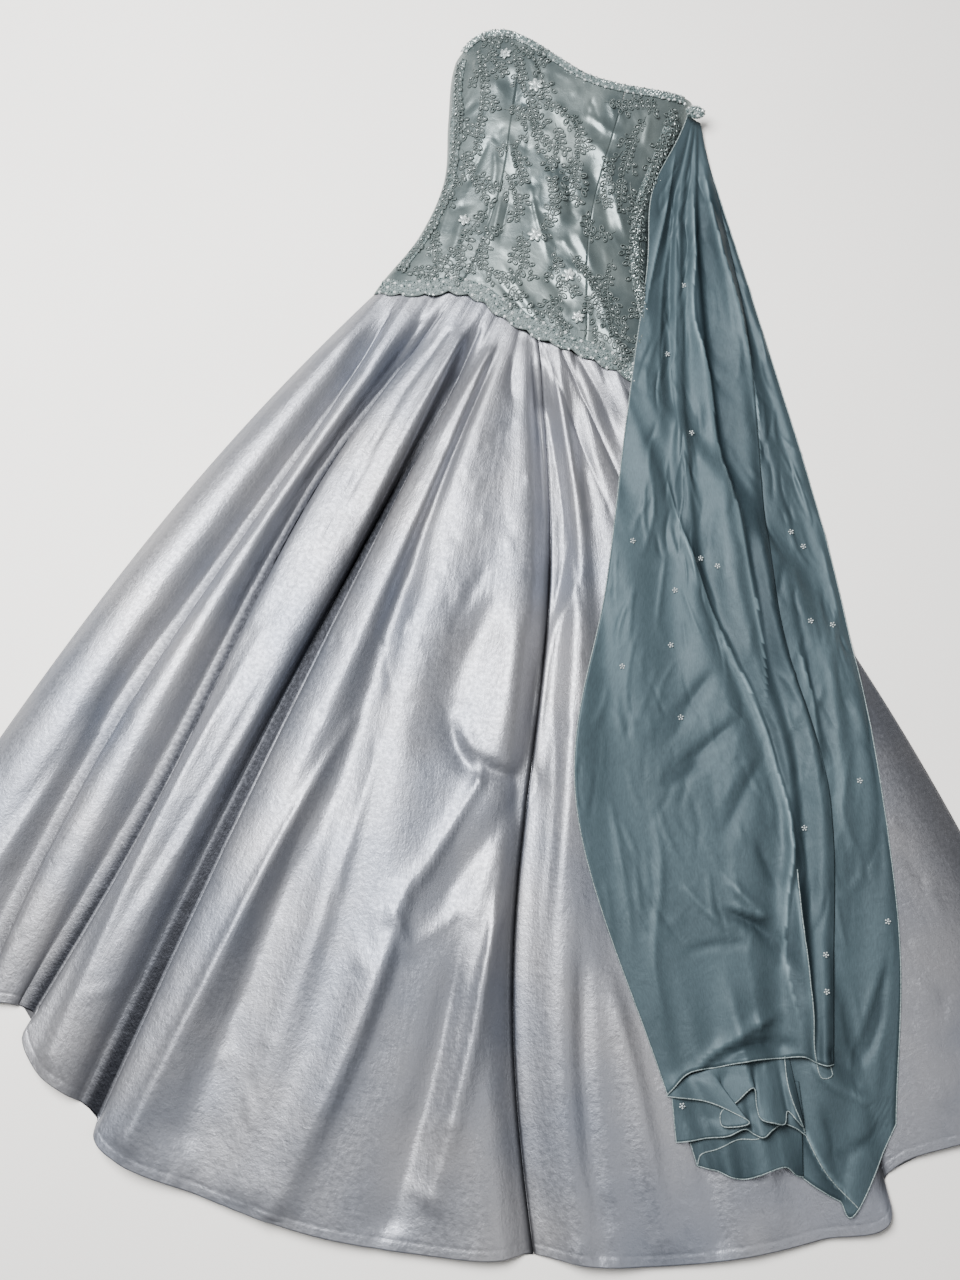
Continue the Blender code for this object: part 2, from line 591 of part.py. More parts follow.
def main():
    clear_scene()
    gown = collection("party_dress")
    satin = material("satin_grey", SATIN_GREY, 0.35, 0.3)
    overlay = material("bodice_teal", BODICE_TEAL, 0.4, 0.1)
    organza = material("sash_teal", SASH_TEAL, 0.5)
    beads = material("bead_silver", BEAD_SILVER, 0.25, 0.4)
    cording = material("cord_teal", CORD_TEAL, 0.6)

    left_table = back_lines("side seam left", CENTRE_BACK)
    right_table = back_lines(CENTRE_BACK, "side seam right")
    skirt_back("skirt_back_left", left_table, 0.0, satin, gown)
    skirt_back("skirt_back_right", right_table, LAY_GAP, satin, gown)
    left_shares = [2.0 * line[1] - 1.0 for line in left_table]
    right_shares = [2.0 * line[1] - 1.0 for line in right_table]
    centre = left_shares[-1]
    zip_shares = [centre - ZIP_SHARE, centre + ZIP_SHARE]
    left_shares[-1] = zip_shares[0] - ZIP_GAP_SHARE
    right_shares[0] = zip_shares[1] + ZIP_GAP_SHARE
    backs = [("bodice_back_left", left_shares, overlay), ("bodice_back_right", right_shares, overlay)]
    for name, shares, finish in backs + [("back_zip", zip_shares, cording)]:
        bodice_panel(name, shares, BACK_PANEL_ROWS, finish, gown, top_drop=BACK_DROP, flat=True)

    inner = PRINCESS_SEAM + PANEL_GAP
    side_shares = inner + (1.0 - inner) * np.sin(np.linspace(0.0, math.pi / 2.0, SIDE_COLUMNS))
    panels = [
        ("bodice_side_left", -side_shares[::-1]),
        ("bodice_center_front", np.linspace(-PRINCESS_SEAM, PRINCESS_SEAM, CENTER_COLUMNS)),
        ("bodice_side_right", side_shares),
    ]
    bodice = [bodice_panel(name, shares, PANEL_ROWS, overlay, gown) for name, shares in panels]
    gores = [
        skirt_gore("skirt_front_left", SKIRT_FRONT[:GORE_SEAM], satin, gown),
        skirt_gore("skirt_front_right", SKIRT_FRONT[GORE_SEAM:], satin, gown),
    ]
    below = support_of(bodice + gores)

    neck_half = np.full(NECK_TRIM_ROWS, NECK_TRIM / 2)
    neck_inset = NECK_TRIM / 2 - NECK_TRIM_OVER
    neck_path = edge_path(NECKLINE, NECK_TRIM_SPAN, NECK_TRIM_ROWS, neck_inset)
    neck = ribbon("neck_trim", neck_path, neck_half, neck_half, beads, gown, TRIM_RISE)
    basque_rows = SCALLOPS * SCALLOP_ROWS + 1
    basque_inset = BASQUE_TRIM_OVER - BASQUE_TRIM / 2
    basque_path = edge_path(BASQUE_EDGE, BASQUE_TRIM_SPAN, basque_rows, basque_inset)
    wave = np.abs(np.sin(math.pi * np.arange(basque_rows) / SCALLOP_ROWS))
    upper_half = np.full(basque_rows, BASQUE_TRIM / 2)
    lower_half = BASQUE_TRIM / 2 - SCALLOP + SCALLOP * wave
    basque = ribbon("basque_trim", basque_path, upper_half, lower_half, beads, gown, TRIM_RISE, over=below)
    trims = [neck, basque]
    for name, share in SIDE_TRIMS:
        path = np.array([on_bodice(share, height) for height in np.linspace(*SIDE_TRIM_SPAN, SIDE_TRIM_ROWS)])
        half = np.full(SIDE_TRIM_ROWS, SIDE_TRIM / 2)
        trims.append(ribbon(name, path, half, half, beads, gown, TRIM_RISE, lift=SIDE_LIFT))
    applied = [spray(row, cording, gown) for row in SPRAYS]
    applied += [flower(row, support_of(bodice + applied), beads, gown) for row in FLOWERS]

    below = support_of(bodice + gores + trims + applied)
    lower = sash_fall("sash_lower", SASH_LOWER, below, organza, gown, 0.0)
    below = support_of(bodice + gores + trims + applied + [lower])
    upper = sash_fall("sash_upper", SASH_UPPER, below, organza, gown, SASH_GATHER_LIFT)
    layers = bodice + gores + trims + applied + [lower, upper]
    for row in SASH_TAIL:
        layers.append(sash_tail(row, support_of(layers), organza, gown))
    beaded_knot(support_of(layers), beads, gown)


main()
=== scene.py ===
"""A strapless ball gown with an organza sash, laid on its back on a pale floor.

The cloth's own sizes are in millimetres, as a dressmaker works, and MM turns them into the scene's metres.
The gown lies along Y with its neckline at +Y and its hem at -Y.
"""
import math
import bmesh
import bpy
import numpy as np
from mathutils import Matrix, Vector
from mathutils.bvhtree import BVHTree


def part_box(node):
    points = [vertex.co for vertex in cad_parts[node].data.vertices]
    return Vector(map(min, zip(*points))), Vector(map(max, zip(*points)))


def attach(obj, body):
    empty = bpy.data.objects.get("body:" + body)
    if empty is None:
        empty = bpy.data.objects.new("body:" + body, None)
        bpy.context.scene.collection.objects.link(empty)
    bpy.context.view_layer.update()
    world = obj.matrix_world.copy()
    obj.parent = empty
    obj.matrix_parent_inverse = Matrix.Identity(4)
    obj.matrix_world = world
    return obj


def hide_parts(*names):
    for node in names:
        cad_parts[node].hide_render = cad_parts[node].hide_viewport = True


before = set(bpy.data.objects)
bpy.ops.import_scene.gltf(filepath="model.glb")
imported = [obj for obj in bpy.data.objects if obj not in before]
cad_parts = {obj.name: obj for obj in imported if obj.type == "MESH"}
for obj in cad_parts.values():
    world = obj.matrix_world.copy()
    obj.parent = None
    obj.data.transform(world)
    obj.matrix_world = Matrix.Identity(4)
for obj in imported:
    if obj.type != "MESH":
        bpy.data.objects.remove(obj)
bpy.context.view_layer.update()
MM = 0.001

# The studio: a plain off-white floor, one large soft light high at the upper left, and a weak fill.
# The camera stands over the gown, a little towards the hem, and looks down at it.
CAMERA_LENS = 38.0
CAMERA_PLACE = (0.0063, -0.4465, 1.66)
CAMERA_TILT = 13.0
CAMERA_TURN = 8.0
FLOOR_HALF = 6.0
FLOOR_COLOUR = (0.90, 0.875, 0.835)
FLOOR_SHADE = (0.873, 0.84875, 0.80995)
LIGHTS = [
    # name, place, aim, size, power in watts
    ("key light", (-1.0, 0.50, 2.2), (-0.10, 0.0, 0.0), 1.5, 205.0),
    ("fill light", (1.6, -0.9, 2.6), (0.1, -0.2, 0.0), 1.6, 14.0),
]
AMBIENT = 0.17
AMBIENT_COLOUR = (0.95, 0.96, 0.98)


def look_at(thing, aim):
    away = Vector(aim) - thing.location
    thing.rotation_mode = "QUATERNION"
    thing.rotation_quaternion = away.to_track_quat("-Z", "Y")


camera = bpy.data.objects.new("camera", bpy.data.cameras.new("camera"))
camera.data.lens = CAMERA_LENS
camera.data.clip_start = 0.05
camera.location = CAMERA_PLACE
camera.rotation_euler = (math.radians(CAMERA_TILT), 0.0, math.radians(CAMERA_TURN))
bpy.context.scene.collection.objects.link(camera)
bpy.context.scene.camera = camera

for name, place, aim, size, power in LIGHTS:
    lamp = bpy.data.objects.new(name, bpy.data.lights.new(name, "AREA"))
    lamp.data.shape = "SQUARE"
    lamp.data.size = size
    lamp.data.energy = power
    lamp.location = place
    look_at(lamp, aim)
    bpy.context.scene.collection.objects.link(lamp)

world = bpy.data.worlds.new("studio")
world.use_nodes = True
world.node_tree.nodes["Background"].inputs["Color"].default_value = (*AMBIENT_COLOUR, 1.0)
world.node_tree.nodes["Background"].inputs["Strength"].default_value = AMBIENT
bpy.context.scene.world = world


class Finish:
    """A procedural material, built node by node on its Principled shader."""

    def __init__(self, name, roughness, metallic=0.0):
        self.material = bpy.data.materials.new(name)
        self.material.use_nodes = True
        self.tree = self.material.node_tree
        self.shader = self.tree.nodes["Principled BSDF"]
        self.shader.inputs["Roughness"].default_value = roughness
        self.shader.inputs["Metallic"].default_value = metallic
        self.places = self.tree.nodes.new("ShaderNodeTexCoord")
        self.height = None

    def noise(self, space, scale, detail=3.0, roughness=0.5, distortion=0.0):
        """Noise read in "Object" or "UV" space, in which scale is cells per metre along each axis."""
        mapping = self.tree.nodes.new("ShaderNodeMapping")
        mapping.inputs["Scale"].default_value = scale
        self.tree.links.new(self.places.outputs[space], mapping.inputs["Vector"])
        noise = self.tree.nodes.new("ShaderNodeTexNoise")
        noise.inputs["Scale"].default_value = 1.0
        noise.inputs["Detail"].default_value = detail
        noise.inputs["Roughness"].default_value = roughness
        noise.inputs["Distortion"].default_value = distortion
        self.tree.links.new(mapping.outputs["Vector"], noise.inputs["Vector"])
        return noise.outputs["Fac"]

    def attribute(self, name):
        found = self.tree.nodes.new("ShaderNodeAttribute")
        found.attribute_name = name
        return found.outputs["Fac"]

    def ramp(self, factor, low, high, start=0.35, end=0.65):
        """Maps a factor from start..end to low..high, which may be two numbers or two colours."""
        colours = hasattr(low, "__len__")
        span = self.tree.nodes.new("ShaderNodeMapRange")
        span.inputs["From Min"].default_value = start
        span.inputs["From Max"].default_value = end
        span.inputs["To Min"].default_value = 0.0 if colours else low
        span.inputs["To Max"].default_value = 1.0 if colours else high
        self.tree.links.new(factor, span.inputs["Value"])
        if not colours:
            return span.outputs["Result"]
        mix = self.tree.nodes.new("ShaderNodeMix")
        mix.data_type = "RGBA"
        mix.inputs["A"].default_value = (*low, 1.0)
        mix.inputs["B"].default_value = (*high, 1.0)
        self.tree.links.new(span.outputs["Result"], mix.inputs["Factor"])
        return mix.outputs["Result"]

    def blend(self, first, second, mode, share=1.0):
        mix = self.tree.nodes.new("ShaderNodeMix")
        mix.data_type = "RGBA"
        mix.blend_type = mode
        mix.inputs["Factor"].default_value = share
        self.tree.links.new(first, mix.inputs["A"])
        self.tree.links.new(second, mix.inputs["B"])
        return mix.outputs["Result"]

    def bump(self, factor, distance, strength=1.0):
        """Raises the surface by a factor times distance, in millimetres, over the bumps made before."""
        made = self.tree.nodes.new("ShaderNodeBump")
        made.inputs["Distance"].default_value = distance * MM
        made.inputs["Strength"].default_value = strength
        self.tree.links.new(factor, made.inputs["Height"])
        if self.height is not None:
            self.tree.links.new(self.height, made.inputs["Normal"])
        self.height = made.outputs["Normal"]
        self.tree.links.new(self.height, self.shader.inputs["Normal"])

    def feed(self, socket, output):
        self.tree.links.new(output, self.shader.inputs[socket])

    def speckle(self, cells, low, high, start=0.35, end=0.65, detail=3.0, space="Object"):
        """Colours the surface by noise of so many cells a metre, from low to high, and returns the noise."""
        factor = self.noise(space, (cells, cells, cells), detail)
        self.feed("Base Color", self.ramp(factor, low, high, start, end))
        return factor


floor_finish = Finish("floor off-white", 0.7)
floor_finish.speckle(3.0, FLOOR_COLOUR, FLOOR_SHADE)
floor_mesh = bpy.data.meshes.new("floor")
corners = [(-1, -1), (1, -1), (1, 1), (-1, 1)]
floor_mesh.from_pydata([(x * FLOOR_HALF, y * FLOOR_HALF, 0.0) for x, y in corners], [], [(0, 1, 2, 3)])
floor_mesh.materials.append(floor_finish.material)
floor = bpy.data.objects.new("floor", floor_mesh)
bpy.context.scene.collection.objects.link(floor)

# The skirt: two gores of silver-grey satin, gathered to the dropped basque edge of the bodice.
# It is laid in radiating folds, each a line from the basque edge to the hem, with creases between them.
SATIN = 1.6
LAY_GAP = 0.3
SEAM = 1.3
FRONT_FLOOR = SATIN + LAY_GAP
SHELL = 0.9
BODICE_TOP = (-29.0, 733.0)
BODICE_LEAN = 4.0
BODICE_RINGS = [
    # down, half_width, crown
    (-60.0, 158.0, 34.0),
    (10.0, 167.0, 46.0),
    (90.0, 157.0, 43.0),
    (185.0, 143.0, 35.0),
    (270.0, 158.0, 33.0),
    (365.0, 199.0, 31.0),
    (450.0, 215.0, 29.0),
]
BASQUE_EDGE = [
    # share of the half width, down
    (-1.0, 366.0),
    (-0.7, 365.0),
    (-0.5, 354.0),
    (-0.3, 358.0),
    (-0.1, 376.0),
    (0.15, 394.0),
    (0.45, 406.0),
    (0.75, 422.0),
    (1.0, 440.0),
]
FAN_CENTRE = (-30.0, 538.0)
SKIRT_FRONT = [
    # waist: share of the basque edge; angle: degrees from straight down; reach: fan centre to hem;
    # bow and sway: sideways curve of the line; top, middle, hem: height of the cloth's underside
    # name, waist, angle, reach, bow, sway, top, middle, hem
    ("side seam left", 0.000, -33.0, 1264, -34, -2, 2, 2, 2),
    ("side roll left", 0.025, -31.6, 1262, -36, 0, 13, 17, 13),
    ("ridge a", 0.060, -28.6, 1250, -32, 4, 21, 25, 17),
    ("foot a", 0.092, -26.5, 1238, -28, 8, 9, 7, 5),
    ("throat a", 0.103, -26.1, 1234, -27, 8, 6, 4, 3),
    ("lip a", 0.114, -25.7, 1240, -26, 7, 15, 15, 12),
    ("ridge b", 0.180, -24.2, 1229, -32, 0, 27, 28, 19),
    ("foot b", 0.262, -23.4, 1225, -22, -14, 9, 7, 5),
    ("throat b", 0.274, -23.0, 1224, -23, -15, 6, 4, 3),
    ("lip b", 0.286, -22.6, 1253, -24, -16, 16, 16, 12),
    ("slope c", 0.318, -21.3, 1272, -16, -4, 27, 25, 16),
    ("ridge c", 0.350, -19.2, 1281, 0, 8, 34, 36, 25),
    ("foot c", 0.390, -17.6, 1285, -10, 0, 9, 7, 5),
    ("throat c", 0.402, -17.15, 1288, -10, 0, 5, 4, 3),
    ("lip c", 0.414, -16.75, 1306, -10, 0, 17, 17, 13),
    ("ridge d", 0.446, -15.0, 1320, 0, 1, 34, 36, 22),
    ("hollow d", 0.472, -10.6, 1321, -12, -8, 22, 20, 12),
    ("centre ridge", 0.496, -4.4, 1326, -24, -14, 33, 31, 17),
    ("dip e", 0.520, 0.6, 1325, -14, 4, 24, 22, 13),
    ("crease shoulder", 0.540, 4.6, 1323, -8, 18, 20, 21, 14),
    ("crease left", 0.556, 6.0, 1316, -5, 22, 8, 7, 4),
    ("seam left", 0.570, 6.25, 1316, -5, 22, 8, 7, 4),
    ("seam right", 0.572, 6.29, 1316, -5, 22, 8, 7, 4),
    ("crease right", 0.586, 6.6, 1317, -5, 22, 8, 7, 4),
    ("ridge f", 0.616, 8.8, 1326, 0, 20, 26, 27, 18),
    ("hollow f", 0.660, 12.2, 1331, 5, 8, 16, 12, 8),
    ("ridge g", 0.700, 16.4, 1333, 10, 0, 21, 15, 12),
    ("hollow g", 0.750, 20.4, 1331, 16, 0, 13, 9, 7),
    ("lip h", 0.836, 24.2, 1324, 26, 0, 13, 10, 10),
    ("throat h", 0.846, 24.55, 1286, 26, 0, 5, 4, 3),
    ("foot h", 0.860, 25.0, 1281, 27, 0, 7, 5, 4),
    ("ridge i", 0.920, 29.6, 1280, 32, 0, 13, 13, 12),
    ("side roll right", 0.974, 34.8, 1274, 36, 0, 9, 11, 9),
    ("side seam right", 1.000, 36.2, 1268, 38, 0, 2, 2, 2),
]
GORE_SEAM = 22
TOP_SHARE = 0.12
MIDDLE_SHARE = 0.55
GATHER_START = 0.012
GATHER_END = 0.10
SKIRT_ROWS = 200
SKIRT_STEP = 4.4
SKIRT_CREASES = [
    # from the fan centre: degrees from straight down and reach at the start, middle and end;
    # width to the left and to the right, height, sharpness, and the share of the height at each end
    # angle, reach, angle, reach, angle, reach, left, right, height, sharp, first, last
    (-1.0, 205, 7.5, 392, 11.0, 585, 20, 12, -9.0, 0.3, 0.8, 0.0),
    (1.5, 202, 8.4, 400, 10.9, 560, 5, 5, -4.0, 0.9, 0.8, 0.3),
    (9.7, 470, 5.6, 645, 4.8, 780, 9, 7, -5.0, 0.9, 0.6, 1.0),
    (11.0, 520, 6.9, 602, 5.4, 764, 12, 5, 5.0, 0.8, 0.3, 0.2),
    (2.8, 234, 9.2, 342, 13.7, 540, 14, 16, 6.0, 0.2, 0.8, 0.2),
    (9.3, 216, 16.4, 311, 20.2, 420, 4, 4, -4.5, 0.9, 0.9, 0.5),
    (2.3, 208, 13.1, 343, 17.4, 470, 5, 5, -3.0, 0.8, 0.7, 0.3),
    (14.5, 222, 19.8, 290, 21.3, 350, 9, 9, -6.0, 0.3, 0.8, 0.2),
    (-13.7, 238, -15.8, 315, -16.6, 405, 9, 14, 4.0, 0.6, 0.8, 0.0),
    (-6.5, 235, -5.0, 270, -3.0, 300, 7, 7, -3.5, 0.6, 0.4, 0.0),
    (-11.4, 400, -10.0, 480, -12.4, 640, 22, 22, -5.0, 0.1, 0.0, 0.0),
    (-2.4, 500, -3.8, 560, -6.0, 650, 9, 9, -2.5, 0.4, 0.0, 0.0),
    (-0.1, 545, -3.2, 650, -3.9, 745, 26, 26, -9.0, 0.1, 0.0, 0.7),
    (-3.9, 700, -0.8, 764, 4.6, 774, 16, 12, -8.0, 0.5, 0.2, 1.0),
    (4.8, 773, 2.0, 769, -1.5, 744, 4, 5, -5.0, 0.9, 1.0, 0.0),
    (2.6, 560, 2.6, 668, 2.0, 756, 18, 14, 6.0, 0.2, 0.0, 0.6),
    (0.6, 786, -2.1, 880, -4.4, 962, 14, 8, 7.5, 0.8, 0.9, 0.4),
    (0.6, 786, 0.2, 760, -2.0, 715, 7, 9, 4.0, 0.6, 0.9, 0.0),
    (-4.2, 955, -3.4, 975, -2.4, 1010, 10, 8, 3.5, 0.7, 0.8, 0.0),
    (4.6, 778, 1.8, 855, -2.2, 970, 22, 20, -9.0, 0.2, 0.5, 0.0),
    (0.6, 930, -0.6, 955, -2.0, 985, 6, 7, 2.5, 0.4, 0.0, 0.0),
    (3.8, 895, 3.0, 960, 1.6, 1080, 6, 8, 4.5, 0.7, 0.2, 0.0),
    (3.0, 890, 2.4, 1050, 0.9, 1265, 8, 14, 11.0, 0.5, 0.2, 0.6),
    (6.9, 640, 7.4, 770, 6.4, 1000, 5, 6, -2.5, 0.4, 0.0, 0.0),
    (8.8, 640, 8.6, 760, 7.4, 960, 7, 9, 2.0, 0.3, 0.0, 0.0),
    (10.6, 980, 12.0, 1130, 12.8, 1300, 18, 14, 8.0, 0.4, 0.0, 0.5),
    (9.2, 940, 9.0, 1130, 9.6, 1310, 14, 12, -8.0, 0.2, 0.0, 0.6),
    (14.6, 980, 15.2, 1150, 15.6, 1310, 14, 12, -7.0, 0.3, 0.0, 0.6),
    (18.6, 1000, 18.6, 1170, 18.4, 1300, 16, 14, 7.0, 0.4, 0.0, 0.4),
    (-29.2, 238, -27.6, 378, -22.9, 636, 4, 5, -4.0, 0.8, 0.8, 0.0),
    (-24.0, 238, -22.6, 380, -20.4, 600, 6, 8, 3.5, 0.5, 0.7, 0.0),
    (-38.0, 250, -33.4, 430, -30.2, 660, 5, 6, -3.5, 0.7, 0.8, 0.0),
    (-33.5, 700, -31.6, 900, -30.4, 1150, 10, 12, -4.0, 0.4, 0.0, 0.3),
    (-32.3, 860, -30.6, 1020, -29.4, 1180, 10, 14, 6.0, 0.4, 0.0, 0.4),
    (-24.2, 700, -22.7, 953, -20.8, 1250, 10, 16, 9.0, 0.4, 0.2, 0.8),
    (-21.4, 700, -21.0, 900, -21.2, 1130, 8, 8, -3.5, 0.4, 0.0, 0.2),
    (-18.2, 640, -18.6, 850, -18.6, 1080, 7, 7, -2.0, 0.3, 0.0, 0.0),
    (-12.3, 750, -13.9, 942, -15.1, 1291, 9, 14, 9.0, 0.5, 0.4, 0.8),
    (-12.7, 860, -12.5, 1060, -12.6, 1260, 18, 20, -11.0, 0.2, 0.0, 0.6),
    (-9.0, 720, -8.8, 900, -9.0, 1120, 12, 9, 3.5, 0.4, 0.0, 0.0),
    (-3.6, 940, -4.8, 1100, -6.6, 1295, 32, 13, 15.0, 0.3, 0.3, 0.6),
    (-10.6, 780, -9.6, 1030, -9.2, 1290, 26, 26, 8.0, 0.2, 0.0, 0.5),
    (0.9, 960, 0.2, 1120, -0.9, 1290, 22, 12, -11.0, 0.2, 0.2, 0.6),
]
CREASE_POINTS = 14
CRUMPLE_GROUPS = [
    # part of the fan, in degrees and reach, then how many, longest, widest and highest, and the seed
    # first angle, last angle, first reach, last reach, count, length, width, height, seed
    (-16.0, 4.0, 300, 640, 46, 62, 8, 1.5, 11),
    (-16.0, 4.0, 640, 1280, 46, 80, 10, 1.6, 12),
    (-33.0, -17.0, 420, 1230, 54, 80, 8, 1.3, 13),
    (5.5, 24.0, 300, 1290, 46, 80, 9, 1.5, 14),
    (24.0, 36.0, 500, 1240, 30, 80, 9, 1.5, 15),
]
GATHERS = [
    # share of the basque edge, reach of the gather below it, half width, height
    (0.045, 120, 9, 2.0), (0.140, 130, 12, 3.0), (0.205, 150, 9, -3.4), (0.275, 100, 8, -2.6),
    (0.335, 60, 6, -2.0), (0.372, 130, 12, 3.0), (0.428, 70, 6, -2.4), (0.508, 100, 8, -3.0),
    (0.600, 120, 9, -3.0), (0.640, 90, 8, 2.6), (0.690, 90, 6, -2.4), (0.780, 100, 9, -2.4),
    (0.830, 80, 8, 2.4), (0.890, 70, 6, -2.0),
]


def curve_through(knots, places, at):
    """Smooth curve through knots that sit at the given places, read at the values in at."""
    knots = np.asarray(knots, float)
    places = np.asarray(places, float)
    at = np.asarray(at, float)
    flat = knots.reshape(len(knots), -1)
    step = np.diff(places)
    slope = np.diff(flat, axis=0) / step[:, None]
    tangent = np.vstack([slope[:1], np.zeros((len(knots) - 2, flat.shape[1])), slope[-1:]])
    before, after = step[:-1, None], step[1:, None]
    tangent[1:-1] = (after * slope[:-1] + before * slope[1:]) / (before + after)
    span = np.clip(np.searchsorted(places, at, side="right") - 1, 0, len(knots) - 2)
    length = step[span]
    t = ((at - places[span]) / length)[:, None]
    length = length[:, None]
    start, end = flat[span], flat[span + 1]
    out = (2 * t**3 - 3 * t**2 + 1) * start + (t**3 - 2 * t**2 + t) * length * tangent[span]
    out += (3 * t**2 - 2 * t**3) * end + (t**3 - t**2) * length * tangent[span + 1]
    return out.reshape((len(at),) + knots.shape[1:])


def table_curve(table, at):
    """The columns of a table, read smoothly against its first column."""
    rows = np.asarray(table, float)
    return curve_through(rows[:, 1:], rows[:, 0], np.atleast_1d(at))


def smooth_step(start, end, value):
    t = np.clip((np.asarray(value, float) - start) / (end - start), 0.0, 1.0)
    return t * t * (3.0 - 2.0 * t)


def bodice_place(share, down):
    """Flat places (x, y) on the bodice at shares of the half width and distances down its axis."""
    share, down = np.broadcast_arrays(np.asarray(share, float), np.asarray(down, float))
    lean = math.radians(BODICE_LEAN)
    side = share * table_curve(BODICE_RINGS, down.ravel())[:, 0].reshape(down.shape)
    x = BODICE_TOP[0] + side * math.cos(lean) - down * math.sin(lean)
    y = BODICE_TOP[1] - side * math.sin(lean) - down * math.cos(lean)
    return np.stack([x, y], axis=-1)


def bodice_height(share, down):
    """Height of the bodice front's underside: a rounded arch from side seam to side seam."""
    share, down = np.broadcast_arrays(np.asarray(share, float), np.asarray(down, float))
    crown = table_curve(BODICE_RINGS, down.ravel())[:, 1].reshape(down.shape)
    return FRONT_FLOOR + crown * (1.0 - np.minimum(np.abs(share), 1.0) ** 2.6) ** 0.62


def basque_place(along):
    """Place on the basque seam at a share of the edge, from the left side seam to the right."""
    share = 2.0 * along - 1.0
    down = table_curve(BASQUE_EDGE, share)[0, 0]
    return np.array([*bodice_place(share, down + SEAM), float(bodice_height(share, down))])


def skirt_line(line, shares, short=0.0):
    """Points of one line down the skirt, at the given shares of its length."""
    _, waist, angle, reach, bow, sway, top, middle, hem = line
    shares = np.asarray(shares, float)
    start = basque_place(waist)
    turn = math.radians(angle)
    end = np.array(FAN_CENTRE) + (reach - short) * np.array([math.sin(turn), -math.cos(turn)])
    chord = end - start[:2]
    across = np.array([-chord[1], chord[0]]) / np.hypot(*chord)
    heights = curve_through([top, top, middle, hem], [0.0, TOP_SHARE, MIDDLE_SHARE, 1.0], shares)
    side = bow * 4.0 * shares * (1.0 - shares) + sway * np.sin(math.tau * shares)
    fall = smooth_step(GATHER_START, GATHER_END, shares)
    flat = start[:2] + chord * shares[:, None] + across * side[:, None]
    return np.column_stack([flat, start[2] * (1.0 - fall) + heights * fall])


def across_lines(lines, column_step, floor_height):
    """Sections across a set of lines: each row runs smoothly through the lines' points."""
    gaps = np.linalg.norm(np.diff(lines[:, lines.shape[1] * 2 // 3], axis=0), axis=1)
    places = np.concatenate([[0.0], np.cumsum(np.maximum(gaps, 1.0))])
    at = [0.0]
    for i, gap in enumerate(gaps):
        steps = max(1, int(round(gap / column_step)))
        at.extend(places[i] + (places[i + 1] - places[i]) * (k + 1) / steps for k in range(steps))
    rows = [curve_through(lines[:, r], places, at) for r in range(lines.shape[1])]
    grid = np.array(rows)
    grid[:, :, 2] = np.maximum(grid[:, :, 2], floor_height)
    return grid


def fan_place(angle, reach):
    """The place (x, y) at an angle from straight down and a reach, from the skirt's fan centre."""
    turn = np.radians(angle)
    return np.stack([FAN_CENTRE[0] + reach * np.sin(turn), FAN_CENTRE[1] - reach * np.cos(turn)], axis=-1)


CREASE_REACH = 3.5
CREASE_PINCH = 1.3
CREASE_ROUND = 0.02


def beside_path(grid, path, reach):
    """Which of a grid's points lie near a path: their distance from it, their side and the share along it."""
    flat = grid[:, :, :2]
    near = np.all((flat > path.min(axis=0) - reach) & (flat < path.max(axis=0) + reach), axis=2)
    run = np.diff(path, axis=0)
    length = np.linalg.norm(run, axis=1)
    along = run / length[:, None]
    offset = flat[near][:, None] - path[None, :-1]
    t = np.clip(np.einsum("psk,sk->ps", offset, along), 0.0, length)
    miss = offset - t[:, :, None] * along
    distance = np.linalg.norm(miss, axis=2)
    best = distance.argmin(axis=1)
    row = np.arange(len(best))
    side = along[best, 0] * miss[row, best, 1] - along[best, 1] * miss[row, best, 0]
    share = (np.concatenate([[0.0], np.cumsum(length)])[best] + t[row, best]) / length.sum()
    return near, distance[row, best], side, share


def crease(grid, path, left, right, height, sharp, first=0.0, last=0.0):
    """Raise or lower the cloth along a path: soft at sharp 0, a pinched crease at sharp 1.

    The crease widens along its way, and first and last are the shares of its height at its two ends.
    """
    near, distance, side, share = beside_path(grid, path, CREASE_REACH * max(left, right))
    width = np.where(side > 0.0, right, left) * (0.7 + 0.6 * share)
    u = distance / width
    soft = np.exp(-u * u)
    pinched = np.exp(-CREASE_PINCH * (np.sqrt(u * u + CREASE_ROUND) - math.sqrt(CREASE_ROUND)))
    taper = np.minimum(first + (1.0 - first) * smooth_step(0.0, 0.3, share),
                       last + (1.0 - last) * smooth_step(0.0, 0.35, 1.0 - share))
    edge = smooth_step(0.0, 1.0, CREASE_REACH - u)
    grid[near, 2] += height * taper * edge * ((1.0 - sharp) * soft + sharp * pinched)


def fan_crease(grid, row):
    """A crease of the skirt, from its three places in the fan."""
    knots = fan_place(np.array(row[0:6:2], float), np.array(row[1:6:2], float))
    steps = np.linspace(0.0, 1.0, CREASE_POINTS)
    crease(grid, curve_through(knots, [0.0, 0.5, 1.0], steps), *row[6:])


def wrinkle(grid, chance, start, heading, longest, widest, highest):
    """One small random crease that starts at a place and runs along a heading from straight down."""
    turn = heading + chance.normal(0.0, 0.6) * (np.linspace(0.0, 1.0, 6) - 0.5)
    length = longest * chance.uniform(0.35, 1.0)
    path = start + np.cumsum(np.column_stack([np.sin(turn), -np.cos(turn)]) * length / 6, axis=0)
    width = widest * chance.uniform(0.5, 1.0)
    height = highest * chance.uniform(0.3, 1.0) * chance.choice([-1.0, 1.0])
    crease(grid, path, width, width * chance.uniform(0.6, 1.0), height, chance.uniform(0.2, 0.9))


def crumples(grid, row):
    """Small random creases over part of the fan, most of them running down it."""
    first_angle, last_angle, first_reach, last_reach, count, longest, widest, highest, seed = row
    chance = np.random.default_rng(seed)
    for _ in range(count):
        angle = chance.uniform(first_angle, last_angle)
        start = fan_place(angle, chance.uniform(first_reach, last_reach))
        wrinkle(grid, chance, start, math.radians(angle) + chance.normal(0.0, 0.55), longest, widest, highest)


